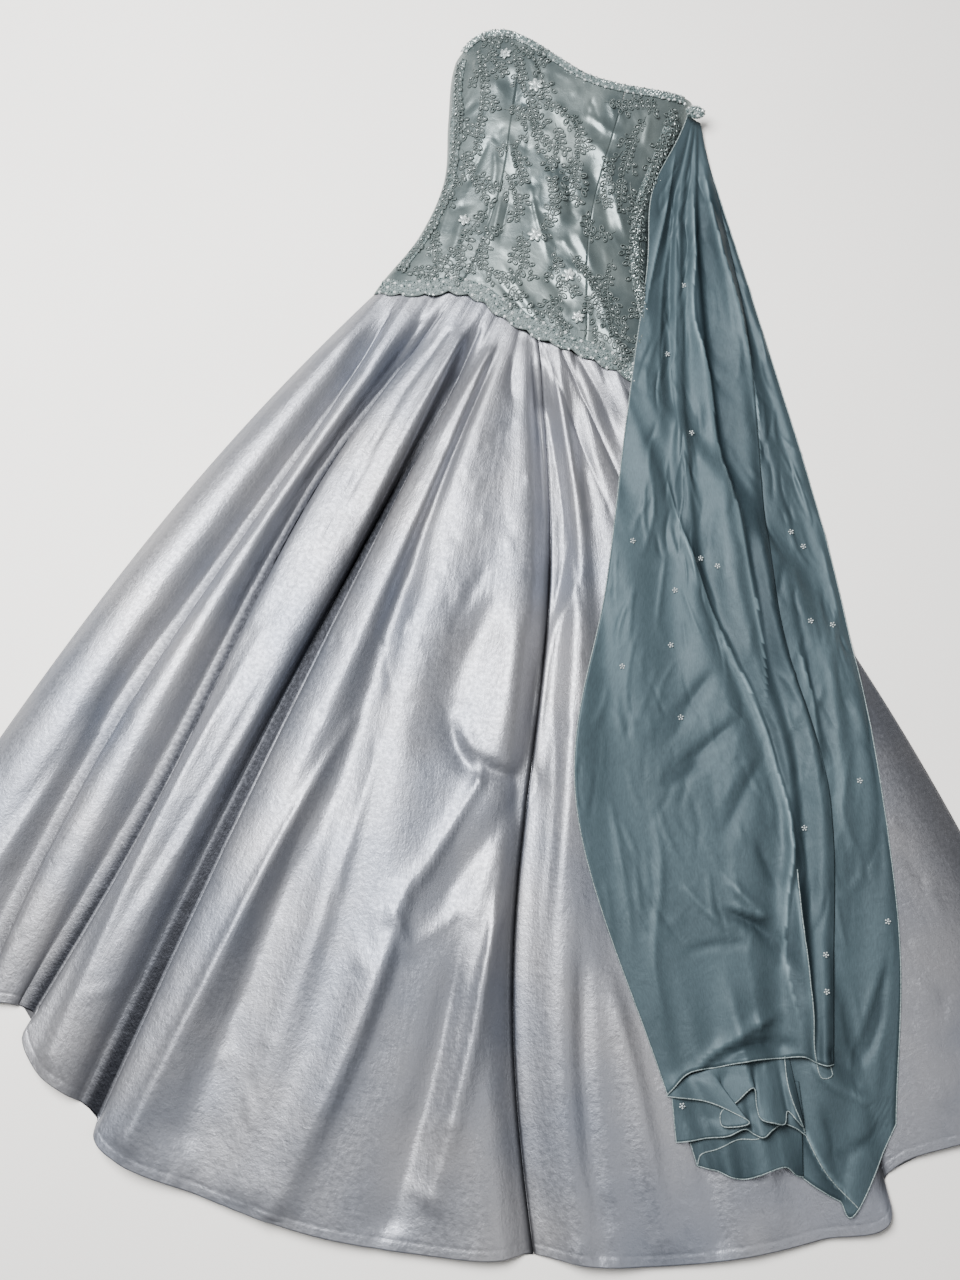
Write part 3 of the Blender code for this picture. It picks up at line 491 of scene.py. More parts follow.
def shell(name, grid, wall, finish, node, tone_and_painted_shade=None):
    """A thin shell on a grid of points, rows down and columns across, given its wall upwards.

    Its UV map holds the distances across and down the cloth, in metres, and tone_and_painted_shade holds, for
    each point, a colour level that carries painted light and shade.
    """
    rows, columns = grid.shape[:2]
    down = np.concatenate([[0.0], np.cumsum(np.linalg.norm(np.diff(grid, axis=0), axis=2).mean(axis=1))])
    across = np.concatenate([[0.0], np.cumsum(np.linalg.norm(np.diff(grid, axis=1), axis=2).mean(axis=0))])
    index = np.arange(rows * columns).reshape(rows, columns)
    quads = np.stack([index[:-1, :-1], index[1:, :-1], index[1:, 1:], index[:-1, 1:]], axis=-1).reshape(-1, 4)
    mesh = bpy.data.meshes.new(name)
    mesh.from_pydata((grid.reshape(-1, 3) * MM).tolist(), [], quads.tolist())
    cut = np.stack(np.meshgrid(across, down), axis=-1).reshape(-1, 2) * MM
    layer = mesh.uv_layers.new(name="cloth")
    layer.data.foreach_set("uv", cut[quads.ravel()].astype(np.float32).ravel())
    if tone_and_painted_shade is not None:
        shade = mesh.attributes.new("tone_and_painted_shade", "FLOAT", "POINT")
        shade.data.foreach_set("value", tone_and_painted_shade.astype(np.float32).ravel())
    mesh.shade_smooth()
    mesh.materials.append(finish)
    piece = bpy.data.objects.new(name + "_cloth", mesh)
    bpy.context.scene.collection.objects.link(piece)
    wall_maker = piece.modifiers.new("wall", "SOLIDIFY")
    wall_maker.thickness = wall * MM
    wall_maker.offset = 1.0
    flat = bpy.data.meshes.new_from_object(piece.evaluated_get(bpy.context.evaluated_depsgraph_get()))
    piece.modifiers.clear()
    piece.data = flat
    flat.name = name
    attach(piece, "root")
    if node:
        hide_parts(node)
    return piece


satin = Finish("satin silver grey", 0.40, 0.72)
satin_patch = satin.noise("Object", (5.0, 5.0, 5.0), detail=3.0)
satin_dye = satin.ramp(satin_patch, (0.194, 0.209, 0.247), (0.288, 0.288, 0.305))
# Painted shade: the tone attribute darkens the satin's colour in the fold valleys and over the right gore's
# outer side.
satin_painted_shade = satin.ramp(satin.attribute("tone_and_painted_shade"), (0.012, 0.015, 0.025), (1.0, 1.0, 1.0), 0.0, 1.0)
satin.feed("Base Color", satin.blend(satin_dye, satin_painted_shade, "MULTIPLY"))
satin.feed("Roughness", satin.ramp(satin.noise("UV", (200.0, 200.0, 1.0), detail=2.0), 0.36, 0.50))
satin.bump(satin.noise("Object", (26.0, 26.0, 26.0), detail=4.0, distortion=0.6), 1.3, 0.6)
satin.bump(satin.noise("UV", (80.0, 16.0, 1.0), detail=4.0, roughness=0.6, distortion=0.5), 1.1, 0.6)
satin.bump(satin.noise("Object", (85.0, 60.0, 85.0), detail=5.0, roughness=0.62, distortion=1.2), 0.7, 0.55)
satin.bump(satin.noise("UV", (420.0, 300.0, 1.0), detail=2.0, roughness=0.6), 0.36, 0.8)

VALLEYS = [
    # where a fold tucks under the next one: line of the skirt, widths of its slopes to the left and
    # to the right, height, sharpness, share of the height at each end, then the width and the depth
    # of the shade painted into the satin's colour inside it; the side seam's row paints shade over the right
    # gore's outer side
    # line, left, right, height, sharp, first, last, shade width, shade depth
    ("throat a", 24, 4, -9.0, 0.2, 0.2, 0.9, 12, 0.75),
    ("throat b", 38, 4, -15.0, 0.2, 0.2, 1.0, 19, 1.1),
    ("throat c", 44, 4, -17.0, 0.2, 0.2, 1.0, 23, 1.3),
    ("seam left", 12, 4, -5.0, 0.3, 0.3, 0.8, 9, 0.95),
    ("throat h", 20, 4, -6.0, 0.3, 0.2, 0.8, 14, 0.8),
    ("hollow d", 26, 18, -3.5, 0.0, 0.4, 0.6, 20, 0.06),
    ("side seam right", 9, 9, 0.0, 0.0, 0.6, 0.9, 120, 0.52),
]

SHADE_EDGE = 3.0
HEM_SHARE = 0.983
HEM_ROWS = 12
HEM_DEEP = 10.0
HEM_RISE = 0.12
HEM_STITCH = 0.3
HEM_PUCKER = 0.55
PUCKER_PITCH = 23.0
PUCKER_WANDER = 2.6
PUCKER_WAVES = (97.0, 310.0)


def turned_hem(grid):
    """The turned-up hem: cloth lies double, with a row of stitches above it and small puckers."""
    up = np.linalg.norm(grid[-1, :, :2] - grid[:, :, :2], axis=2)
    run = np.linalg.norm(np.diff(grid[-1, :, :2], axis=0), axis=1)
    along = np.concatenate([[0.0], np.cumsum(run)])
    wander, swell = (np.sin(math.tau * along / wave) for wave in PUCKER_WAVES)
    puckers = np.sin(math.tau * along / PUCKER_PITCH + PUCKER_WANDER * wander) * swell
    grid[:, :, 2] += HEM_RISE * smooth_step(HEM_DEEP + 2.0, HEM_DEEP - 1.0, up)
    grid[:, :, 2] -= HEM_STITCH * np.exp(-((up - HEM_DEEP - 1.5) / 2.0) ** 2)
    grid[:, :, 2] += HEM_PUCKER * puckers * np.exp(-((up - HEM_DEEP) / 16.0) ** 2)


def gathers(grid):
    """The small pleats that the skirt's gathering thread makes below the basque edge."""
    waists = [line[1] for line in SKIRT_FRONT]
    angles = [line[2] for line in SKIRT_FRONT]
    for share, reach, half, height in GATHERS:
        turn = math.radians(np.interp(share, waists, angles))
        ahead = np.array([math.sin(turn), -math.cos(turn)])
        crease(grid, basque_place(share)[:2] + ahead * reach * np.linspace(0.0, 1.0, 8)[:, None],
               half, half, height, 0.4, 1.0, 0.0)


upper_shares = HEM_SHARE * np.linspace(0.0, 1.0, SKIRT_ROWS) ** 1.15
skirt_shares = np.concatenate([upper_shares, np.linspace(HEM_SHARE, 1.0, HEM_ROWS + 1)[1:]])
gores = []
cloth_sheets = []
front_gores = [("skirt_front_left", SKIRT_FRONT[:GORE_SEAM]), ("skirt_front_right", SKIRT_FRONT[GORE_SEAM:])]
for name, table in front_gores:
    grid = across_lines(np.array([skirt_line(line, skirt_shares) for line in table]), SKIRT_STEP, FRONT_FLOOR)
    base = grid[:, :, 2].copy()
    # The painted shade: a copy of the grid whose height is pressed down along each valley and then darkens
    # the satin's colour there.
    shade = grid.copy()
    shade[:, :, 2] = 1.0
    for valley, left, right, height, sharp, first, last, shade_width, shade_depth in VALLEYS:
        line = next(line for line in SKIRT_FRONT if line[0] == valley)
        path = skirt_line(line, np.linspace(0.03, 1.0, 40))[:, :2]
        crease(grid, path, left, right, height, sharp, first, last)
        crease(shade, path, shade_width, SHADE_EDGE, -shade_depth, 0.3, 0.4, 1.0)
    for row in SKIRT_CREASES:
        fan_crease(grid, row)
    for row in CRUMPLE_GROUPS:
        crumples(grid, row)
    gathers(grid)
    turned_hem(grid)
    grid[:, :, 2] = np.maximum(grid[:, :, 2], np.minimum(base, FRONT_FLOOR))
    gore = shell(name, grid, SHELL, satin.material, name, np.clip(shade[:, :, 2], 0.0, 1.0))
    gores.append(gore)
    cloth_sheets.append((gore, grid, []))

# The back of the skirt: two halves of the same satin, flat on the surface under the front and
# joined to it at the side seams. Only its edges show.
BACK_SHORT = 9.0
BACK_LIFT = 0.2
BACK_SHELL = 0.6
CENTRE_BACK = "dip e"
BACK_RISE = 0.5
BACK_ROWS = 60
BACK_STEP = 16.0


def back_lines(first, last):
    """The lines of the back skirt between two of the table's lines: its seams and the ridges."""
    names = [line[0] for line in SKIRT_FRONT]
    span = SKIRT_FRONT[names.index(first):names.index(last) + 1]
    return [span[0]] + [line for line in span[1:-1] if "ridge" in line[0]] + [span[-1]]


def straight_lines(lines, column_step):
    """Sections across a set of lines, straight from each line to the next."""
    columns = [lines[0]]
    for before, after in zip(lines[:-1], lines[1:]):
        steps = max(1, int(round(np.linalg.norm(after[-1] - before[-1]) / column_step)))
        columns += [before + (after - before) * (k + 1) / steps for k in range(steps)]
    return np.stack(columns, axis=1)


left_back_lines = back_lines("side seam left", CENTRE_BACK)
right_back_lines = back_lines(CENTRE_BACK, "side seam right")
back_shares = np.linspace(0.0, 1.0, BACK_ROWS)
back_gores = [("skirt_back_left", left_back_lines, 0.0), ("skirt_back_right", right_back_lines, LAY_GAP)]
for name, table, shift in back_gores:
    grid = straight_lines(np.array([skirt_line(line, back_shares, BACK_SHORT) for line in table]), BACK_STEP)
    grid[:, :, 0] += shift
    ripple = np.sin(grid[:, :, 0] / 31.0 + np.sin(grid[:, :, 1] / 90.0)) * np.sin(grid[:, :, 1] / 160.0)
    grid[:, :, 2] = BACK_LIFT + BACK_RISE * 0.5 * (1.0 + ripple)
    back = shell(name, grid, BACK_SHELL, satin.material, name, np.ones(grid.shape[:2]))
    cloth_sheets.append((back, grid, []))

# The bodice: a strapless, boned front of grey-teal satin under sheer organza, cut as a center front
# and two side fronts with princess seams, over two flat back panels and a concealed zip.
NECKLINE = [
    # share of the half width, down
    (-1.0, 0.0),
    (-0.92, -26.0),
    (-0.7, -45.0),
    (-0.45, -33.0),
    (-0.15, -7.0),
    (0.1, 11.0),
    (0.35, 16.0),
    (0.7, 8.0),
    (1.0, -6.0),
]
PRINCESS_SEAM = 0.44
PANEL_GAP = 0.001
PANEL_ROWS = 120
CENTER_COLUMNS = 84
SIDE_COLUMNS = 52
BODICE_CREASES = [
    # share of the half width and share of the height at the start, middle and end; widths, height, ...
    # share, height, share, height, share, height, left, right, height, sharp, first, last
    (-0.84, 0.09, -0.78, 0.17, -0.66, 0.25, 4, 5, 3.2, 0.8, 0.2, 0.0),
    (-0.76, 0.12, -0.70, 0.17, -0.60, 0.21, 4, 4, -2.6, 0.8, 0.2, 0.0),
    (-0.54, 0.14, -0.45, 0.25, -0.45, 0.36, 14, 12, -4.5, 0.1, 0.0, 0.0),
    (-0.62, 0.42, -0.70, 0.50, -0.76, 0.60, 5, 5, -3.0, 0.7, 0.2, 0.0),
    (-0.46, 0.38, -0.40, 0.46, -0.29, 0.52, 6, 8, 2.6, 0.4, 0.0, 0.0),
    (-0.56, 0.44, -0.52, 0.54, -0.50, 0.66, 4, 4, 2.6, 0.7, 0.0, 0.2),
    (-0.15, 0.52, -0.06, 0.59, 0.12, 0.71, 3, 4, 3.2, 0.9, 0.2, 0.2),
    (-0.51, 0.60, -0.49, 0.68, -0.46, 0.77, 4, 4, -2.8, 0.7, 0.2, 0.0),
    (-0.41, 0.60, -0.39, 0.70, -0.36, 0.82, 4, 5, 3.0, 0.6, 0.2, 0.0),
    (-0.33, 0.60, -0.32, 0.69, -0.29, 0.80, 4, 4, -2.6, 0.7, 0.2, 0.0),
    (-0.20, 0.84, 0.00, 0.90, 0.14, 0.95, 4, 6, 3.2, 0.7, 0.2, 0.2),
    (-0.24, 0.90, -0.06, 0.92, 0.10, 0.955, 4, 4, -2.4, 0.7, 0.2, 0.0),
    (0.22, 0.15, 0.46, 0.19, 0.60, 0.155, 5, 7, 3.4, 0.5, 0.1, 0.1),
    (0.12, 0.22, 0.42, 0.27, 0.57, 0.36, 10, 12, 4.0, 0.2, 0.0, 0.1),
    (0.26, 0.33, 0.40, 0.36, 0.50, 0.46, 12, 12, -4.0, 0.1, 0.0, 0.0),
    (0.69, 0.09, 0.70, 0.14, 0.73, 0.22, 4, 5, 3.0, 0.7, 0.2, 0.0),
    (0.55, 0.35, 0.66, 0.44, 0.80, 0.54, 4, 6, 3.4, 0.8, 0.1, 0.1),
    (0.50, 0.40, 0.58, 0.48, 0.66, 0.56, 8, 8, -3.0, 0.2, 0.0, 0.0),
    (0.30, 0.57, 0.42, 0.63, 0.52, 0.70, 8, 9, 4.2, 0.4, 0.0, 0.1),
    (0.28, 0.70, 0.48, 0.75, 0.64, 0.90, 5, 8, 3.6, 0.6, 0.1, 0.1),
    (0.34, 0.48, 0.36, 0.53, 0.38, 0.60, 6, 5, 2.8, 0.5, 0.0, 0.0),
    (0.90, 0.70, 0.88, 0.82, 0.78, 0.95, 4, 5, 3.2, 0.7, 0.2, 0.2),
    (-0.02, 0.38, 0.12, 0.50, 0.24, 0.60, 13, 12, 4.0, 0.1, 0.0, 0.0),
    (0.14, 0.40, 0.22, 0.46, 0.28, 0.56, 6, 7, -3.0, 0.3, 0.0, 0.0),
    (-0.10, 0.16, 0.02, 0.20, 0.16, 0.18, 7, 8, 3.0, 0.3, 0.0, 0.0),
    (-0.34, 0.04, -0.26, 0.10, -0.24, 0.17, 5, 6, -2.6, 0.5, 0.2, 0.0),
    (-0.88, 0.60, -0.84, 0.72, -0.78, 0.84, 5, 6, 2.8, 0.4, 0.0, 0.0),
    (-0.70, 0.66, -0.66, 0.78, -0.58, 0.92, 6, 6, 2.8, 0.4, 0.0, 0.1),
    (0.50, 0.86, 0.62, 0.90, 0.74, 0.96, 6, 6, 3.0, 0.4, 0.0, 0.1),
    (0.06, 0.78, 0.22, 0.80, 0.34, 0.88, 9, 9, -3.4, 0.2, 0.0, 0.0),
]
BODICE_CRUMPLES = 150
BODICE_CRUMPLE = (52.0, 7.0, 1.5)
EDGE_CALM = 26.0
SIDE_CALM = 0.80


def bodice_grid(shares, rows, top_drop=0.0, flat_at=None):
    """A bodice panel's points between the neckline and the basque edge, at shares of the width."""
    shares = np.asarray(shares, float)
    top = table_curve(NECKLINE, shares)[:, 0] + top_drop
    bottom = table_curve(BASQUE_EDGE, shares)[:, 0]
    down = top + (bottom - top) * np.linspace(0.0, 1.0, rows)[:, None]
    share = np.broadcast_to(shares, down.shape)
    height = bodice_height(share, down) if flat_at is None else np.full(down.shape, flat_at)
    return np.concatenate([bodice_place(share, down), height[..., None]], axis=-1)


def on_bodice(share, height):
    """Places (x, y) on the bodice at shares of its half width and of its height."""
    share, height = np.atleast_1d(share), np.atleast_1d(height)
    top = table_curve(NECKLINE, share)[:, 0]
    bottom = table_curve(BASQUE_EDGE, share)[:, 0]
    return bodice_place(share, top + (bottom - top) * height)


def bodice_creases(grid, shares):
    """The laid bodice's creases and crumples, which die out towards its seams and bound edges."""
    calm_base = grid[:, :, 2].copy()
    steps = np.linspace(0.0, 1.0, CREASE_POINTS)
    for row in BODICE_CREASES:
        knots = on_bodice(np.array(row[0:6:2]), np.array(row[1:6:2]))
        crease(grid, curve_through(knots, [0.0, 0.5, 1.0], steps), *row[6:])
    chance = np.random.default_rng(21)
    for _ in range(BODICE_CRUMPLES):
        start = on_bodice(chance.uniform(-0.9, 0.9), chance.uniform(0.04, 0.94))[0]
        wrinkle(grid, chance, start, chance.normal(0.0, 0.9), *BODICE_CRUMPLE)
    rows = grid.shape[0]
    length = np.linalg.norm(grid[-1, :, :2] - grid[0, :, :2], axis=1)
    down = np.linspace(0.0, 1.0, rows)[:, None] * length
    calm = smooth_step(0.0, EDGE_CALM, down) * smooth_step(0.0, EDGE_CALM, length - down)
    calm *= smooth_step(1.0, SIDE_CALM, np.abs(np.asarray(shares)))
    grid[:, :, 2] = calm_base + (grid[:, :, 2] - calm_base) * calm
    return grid


overlay = Finish("organza over satin, grey teal", 0.36, 0.65)
overlay_patch = overlay.noise("Object", (16.0, 16.0, 16.0), detail=4.0, distortion=0.4)
overlay_tone = overlay.ramp(overlay_patch, (0.098, 0.127, 0.131), (0.182, 0.220, 0.216))
overlay_thread = overlay.noise("UV", (700.0, 700.0, 1.0), detail=2.0)
overlay_grain = overlay.ramp(overlay_thread, (0.85, 0.85, 0.85), (1.0, 1.0, 1.0))
overlay.feed("Base Color", overlay.blend(overlay_tone, overlay_grain, "MULTIPLY"))
overlay.feed("Roughness", overlay.ramp(overlay_patch, 0.28, 0.42))
overlay.bump(overlay.noise("Object", (60.0, 60.0, 60.0), detail=4.0, distortion=0.8), 0.9, 0.6)
overlay.bump(overlay_thread, 0.05, 0.5)

inner_share = PRINCESS_SEAM + PANEL_GAP
side_shares = inner_share + (1.0 - inner_share) * np.sin(np.linspace(0.0, math.pi / 2.0, SIDE_COLUMNS))
bodice_panels = [
    ("bodice_side_left", -side_shares[::-1]),
    ("bodice_center_front", np.linspace(-PRINCESS_SEAM, PRINCESS_SEAM, CENTER_COLUMNS)),
    ("bodice_side_right", side_shares),
]
bodice = []
for name, shares in bodice_panels:
    grid = bodice_creases(bodice_grid(shares, PANEL_ROWS), shares)
    panel = shell(name, grid, SHELL, overlay.material, name)
    bodice.append(panel)
    cloth_sheets.append((panel, grid, []))

# The bodice's back: two flat panels of the same cloth, 14 mm lower than the front at the neckline, and
# a concealed zip between them, closed, on woven tape. Its coil of teeth and its slider lie on the tape.
BACK_DROP = 14.0
BACK_PANEL_SHELL = 0.8
ZIP_SHARE = 0.022
ZIP_GAP_SHARE = 0.002
ZIP_PITCH = 1.6
ZIP_TOOTH = (2.4, 1.0, 0.6)
ZIP_SLIDER = (4.2, 8.0, 0.7)
zip_centre = 2.0 * left_back_lines[-1][1] - 1.0
left_back_shares = np.linspace(-1.0, zip_centre - ZIP_SHARE - ZIP_GAP_SHARE, 24)
right_back_shares = np.linspace(zip_centre + ZIP_SHARE + ZIP_GAP_SHARE, 1.0, 22)
for name, shares in (("bodice_back_left", left_back_shares), ("bodice_back_right", right_back_shares)):
    grid = bodice_grid(shares, 50, BACK_DROP, BACK_LIFT)
    panel = shell(name, grid, BACK_PANEL_SHELL, overlay.material, name)
    cloth_sheets.append((panel, grid, []))
zip_tape = Finish("zip tape, dark teal", 0.7)
zip_tape.speckle(900.0, (0.10, 0.13, 0.13), (0.15, 0.19, 0.19), space="UV")
zip_shares = np.linspace(zip_centre - ZIP_SHARE, zip_centre + ZIP_SHARE, 5)
zip_grid = bodice_grid(zip_shares, 60, BACK_DROP, BACK_LIFT)
zip_piece = shell("back_zip", zip_grid, BACK_PANEL_SHELL, zip_tape.material, "back_zip")
cloth_sheets[-1][2].append(zip_piece)


def search_tree(pieces):
    """A search tree over the faces of finished pieces."""
    points, faces = [], []
    for piece in pieces:
        base = len(points)
        points += [vertex.co.copy() for vertex in piece.data.vertices]
        faces += [[base + index for index in face.vertices] for face in piece.data.polygons]
    return BVHTree.FromPolygons(points, faces)


def on_cloth(tree, places):
    """The points straight below flat places on the cloth, in millimetres, and the cloth's normals there."""
    points, normals = [], []
    for x, y in places:
        hit, normal, _, _ = tree.ray_cast(Vector((x * MM, y * MM, 1.0)), Vector((0.0, 0.0, -1.0)))
        points.append(Vector((x * MM, y * MM, 0.0)) if hit is None else hit)
        normals.append(Vector((0.0, 0.0, 1.0)) if hit is None else normal)
    return np.array(points) / MM, np.array(normals)


# The beaded bands: net tape set with glass beads along the neckline, both sides and the basque
# edge, where the tape is scalloped and bound with a dark cord. Beads are sewn on one by one.
# Geometry Nodes trees sew the beads, leaves and petals on, here and in the sections below.
TRIM_LIFT = 0.9
SIDE_LIMIT = 0.985
NECK_TRIM = 11.0
BASQUE_TRIM = 24.0
SCALLOP = 5.0
SCALLOPS = 13
SIDE_TRIM = 12.0
BASQUE_CORD = 1.1
TAPE = 0.7


class Tree:
    """A Geometry Nodes tree with named inputs."""

    def __init__(self, name, inputs):
        self.group = bpy.data.node_groups.new(name, "GeometryNodeTree")
        self.group.interface.new_socket("Geometry", in_out="INPUT", socket_type="NodeSocketGeometry")
        for socket, kind in inputs:
            self.group.interface.new_socket(socket, in_out="INPUT", socket_type="NodeSocket" + kind)
        self.group.interface.new_socket("Geometry", in_out="OUTPUT", socket_type="NodeSocketGeometry")
        self.start = self.group.nodes.new("NodeGroupInput")
        self.end = self.group.nodes.new("NodeGroupOutput")

    def node(self, kind, inputs=(), **settings):
        """A node with its settings, and each named input either a value or another node's output."""
        made = self.group.nodes.new(kind)
        for setting, value in settings.items():
            setattr(made, setting, value)
        for socket, value in dict(inputs).items():
            if isinstance(value, bpy.types.NodeSocket):
                self.group.links.new(value, made.inputs[socket])
            else:
                made.inputs[socket].default_value = value
        return made

    def finish(self, instances):
        """The end that every tree has: instances made real, and their material set."""
        real = self.node("GeometryNodeRealizeInstances", {"Geometry": instances})
        painted = self.node("GeometryNodeSetMaterial",
                            {"Geometry": real.outputs[0], "Material": self.start.outputs["Material"]})
        self.group.links.new(painted.outputs[0], self.end.inputs["Geometry"])

    def run(self, source, **values):
        """Evaluates the tree on a mesh object and returns the plain mesh that it makes."""
        modifier = source.modifiers.new("tree", "NODES")
        modifier.node_group = self.group
        for item in self.group.interface.items_tree:
            if item.item_type == "SOCKET" and item.in_out == "INPUT" and item.name in values:
                modifier[item.identifier] = values[item.name]
        depsgraph = bpy.context.evaluated_depsgraph_get()
        mesh = bpy.data.meshes.new_from_object(source.evaluated_get(depsgraph))
        source.modifiers.remove(modifier)
        mesh.materials.clear()
        mesh.materials.append(values["Material"])
        mesh.polygons.foreach_set("material_index", np.zeros(len(mesh.polygons), np.int32))
        return mesh


def bead_tree():
    """A tree that strews beads over the upper faces of a tape or a knot, at a least distance apart."""
    tree = Tree("strewn beads", [("Pitch", "Float"), ("Smallest", "Float"), ("Largest", "Float"),
                                 ("Seed", "Int"), ("Material", "Material")])
    upward = tree.node("ShaderNodeSeparateXYZ", {0: tree.node("GeometryNodeInputNormal").outputs[0]})
    upper = tree.node("FunctionNodeCompare", {0: upward.outputs[2], 1: 0.1}, operation="GREATER_THAN")
    strewn = tree.node("GeometryNodeDistributePointsOnFaces",
                       {"Mesh": tree.start.outputs["Geometry"], "Selection": upper.outputs[0],
                        "Distance Min": tree.start.outputs["Pitch"], "Density Max": 400000.0,
                        "Seed": tree.start.outputs["Seed"]}, distribute_method="POISSON")
    size = tree.node("FunctionNodeRandomValue",
                     {2: tree.start.outputs["Smallest"], 3: tree.start.outputs["Largest"],
                      "Seed": tree.start.outputs["Seed"]}, data_type="FLOAT")
    bead = tree.node("GeometryNodeMeshIcoSphere", {"Radius": 0.5, "Subdivisions": 1})
    sewn = tree.node("GeometryNodeInstanceOnPoints",
                     {"Points": strewn.outputs["Points"], "Instance": bead.outputs["Mesh"],
                      "Rotation": strewn.outputs["Rotation"], "Scale": size.outputs[1]})
    tree.finish(sewn.outputs[0])
    return tree


def sewing_tree(name, add_shape):
    """A tree that sets one shape of unit length on every point, turned by the point's own vectors."""
    tree = Tree(name, [("Material", "Material")])
    vectors = [
        tree.node("GeometryNodeInputNamedAttribute", {"Name": attribute}, data_type="FLOAT_VECTOR").outputs[0]
        for attribute in ("facing", "along", "size")
    ]
    upright = tree.node("FunctionNodeAlignRotationToVector", {"Vector": vectors[0]}, axis="Z")
    turned = tree.node("FunctionNodeAlignRotationToVector",
                       {"Rotation": upright.outputs[0], "Vector": vectors[1]}, axis="X", pivot_axis="Z")
    sewn = tree.node("GeometryNodeInstanceOnPoints",
                     {"Points": tree.start.outputs["Geometry"], "Instance": add_shape(tree),
                      "Rotation": turned.outputs[0], "Scale": vectors[2]})
    tree.finish(sewn.outputs[0])
    return tree


def bead_shape(tree):
    return tree.node("GeometryNodeMeshIcoSphere", {"Radius": 0.5, "Subdivisions": 1}).outputs["Mesh"]


def round_shape(tree):
    return tree.node("GeometryNodeMeshIcoSphere", {"Radius": 0.5, "Subdivisions": 2}).outputs["Mesh"]


def leaf_shape(tree):
    """A leaf of cord: a closed loop, pointed by its squeezed width, which lies from x 0 to 1."""
    ring = tree.node("GeometryNodeCurvePrimitiveCircle", {"Resolution": 10, "Radius": 0.5})
    moved = tree.node("GeometryNodeTransform", {"Geometry": ring.outputs["Curve"],
                                                "Translation": (0.5, 0.0, 0.0), "Scale": (1.0, 0.6, 1.0)})
    cord = tree.node("GeometryNodeCurvePrimitiveCircle", {"Resolution": 5, "Radius": 0.10})
    swept = tree.node("GeometryNodeCurveToMesh",
                      {"Curve": moved.outputs["Geometry"], "Profile Curve": cord.outputs["Curve"]})
    return tree.node("GeometryNodeSetShadeSmooth", {"Geometry": swept.outputs["Mesh"]}).outputs[0]


def petal_shape(tree):
    """A padded petal that lies from x 0 to 1."""
    ball = tree.node("GeometryNodeMeshUVSphere", {"Segments": 10, "Rings": 6, "Radius": 0.5})
    moved = tree.node("GeometryNodeTransform", {"Geometry": ball.outputs["Mesh"],
                                                "Translation": (0.5, 0.0, 0.0), "Scale": (1.0, 0.62, 0.3)})
    return tree.node("GeometryNodeSetShadeSmooth", {"Geometry": moved.outputs["Geometry"]}).outputs[0]


def place_piece(name, mesh, slot, *nodes):
    """Links a finished mesh as a piece of the gown, standing for the nodes that are named."""
    mesh.name = name
    piece = bpy.data.objects.new(name, mesh)
    bpy.context.scene.collection.objects.link(piece)
    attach(piece, "root")
    if nodes:
        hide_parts(*nodes)
    return piece


def sewn_mesh(tree, finish, points, facing, along, size):
    """The mesh of a shape sewn at points (mm), facing and turned by vectors, with sizes in mm."""
    seeds = bpy.data.meshes.new("seeds")
    seeds.from_pydata((np.asarray(points) * MM).tolist(), [], [])
    size = np.asarray(size, float).reshape(len(points), -1) * np.ones(3) * MM
    for name, values in (("facing", facing), ("along", along), ("size", size)):
        layer = seeds.attributes.new(name, "FLOAT_VECTOR", "POINT")
        layer.data.foreach_set("vector", np.asarray(values, np.float32).ravel())
    carrier = bpy.data.objects.new("seeds", seeds)
    bpy.context.scene.collection.objects.link(carrier)
    mesh = tree.run(carrier, Material=finish)
    bpy.data.objects.remove(carrier)
    return mesh


def upright_beads(finish, points, sizes):
    """The mesh of faceted beads that stand upright at points."""
    up = np.tile((0.0, 0.0, 1.0), (len(points), 1))
    ahead = np.tile((1.0, 0.0, 0.0), (len(points), 1))
    return sewn_mesh(bead_sewing, finish, points, up, ahead, sizes)


def ring_of(count, turn):
    """Flat directions of a ring of petals or beads, the first one turned by an angle."""
    angles = np.arange(count) * math.tau / count + turn
    return np.column_stack([np.cos(angles), np.sin(angles), np.zeros(count)])


def joined(meshes):
    """One mesh of several that share their material."""
    shape = bmesh.new()
    for mesh in meshes:
        shape.from_mesh(mesh)
    whole = bpy.data.meshes.new("joined")
    shape.to_mesh(whole)
    shape.free()
    whole.materials.append(meshes[0].materials[0])
    return whole


def tube_mesh(paths, radius, finish, sides=1):
    """The mesh of cords that run along paths (mm)."""
    curve = bpy.data.curves.new("cord", "CURVE")
    curve.dimensions = "3D"
    curve.bevel_depth = radius * MM
    curve.bevel_resolution = sides
    curve.use_fill_caps = True
    for path in paths:
        spline = curve.splines.new("POLY")
        spline.points.add(len(path) - 1)
        spline.points.foreach_set("co", np.column_stack([np.asarray(path) * MM, np.ones(len(path))]).ravel())
    curve.materials.append(finish)
    carrier = bpy.data.objects.new("cord", curve)
    bpy.context.scene.collection.objects.link(carrier)
    mesh = bpy.data.meshes.new_from_object(carrier.evaluated_get(bpy.context.evaluated_depsgraph_get()))
    bpy.data.objects.remove(carrier)
    return mesh


def bodice_surface(places, out):
    """Points over flat places on the bodice front, moved out from its underside."""
    lean = math.radians(BODICE_LEAN)
    offset = np.asarray(places, float) - BODICE_TOP
    side = offset[..., 0] * math.cos(lean) - offset[..., 1] * math.sin(lean)
    down = -offset[..., 0] * math.sin(lean) - offset[..., 1] * math.cos(lean)
    half = table_curve(BODICE_RINGS, down.ravel())[:, 0].reshape(down.shape)
    share = np.clip(side / half, -SIDE_LIMIT, SIDE_LIMIT)

    def point(a, d):
        return np.concatenate([bodice_place(a, d), bodice_height(a, d)[..., None]], axis=-1)

    across = point(share + 0.01, down) - point(share - 0.01, down)
    along = point(share, down + 2.0) - point(share, down - 2.0)
    normal = np.cross(along, across)
    return point(share, down) + normal / np.linalg.norm(normal, axis=-1, keepdims=True) * out


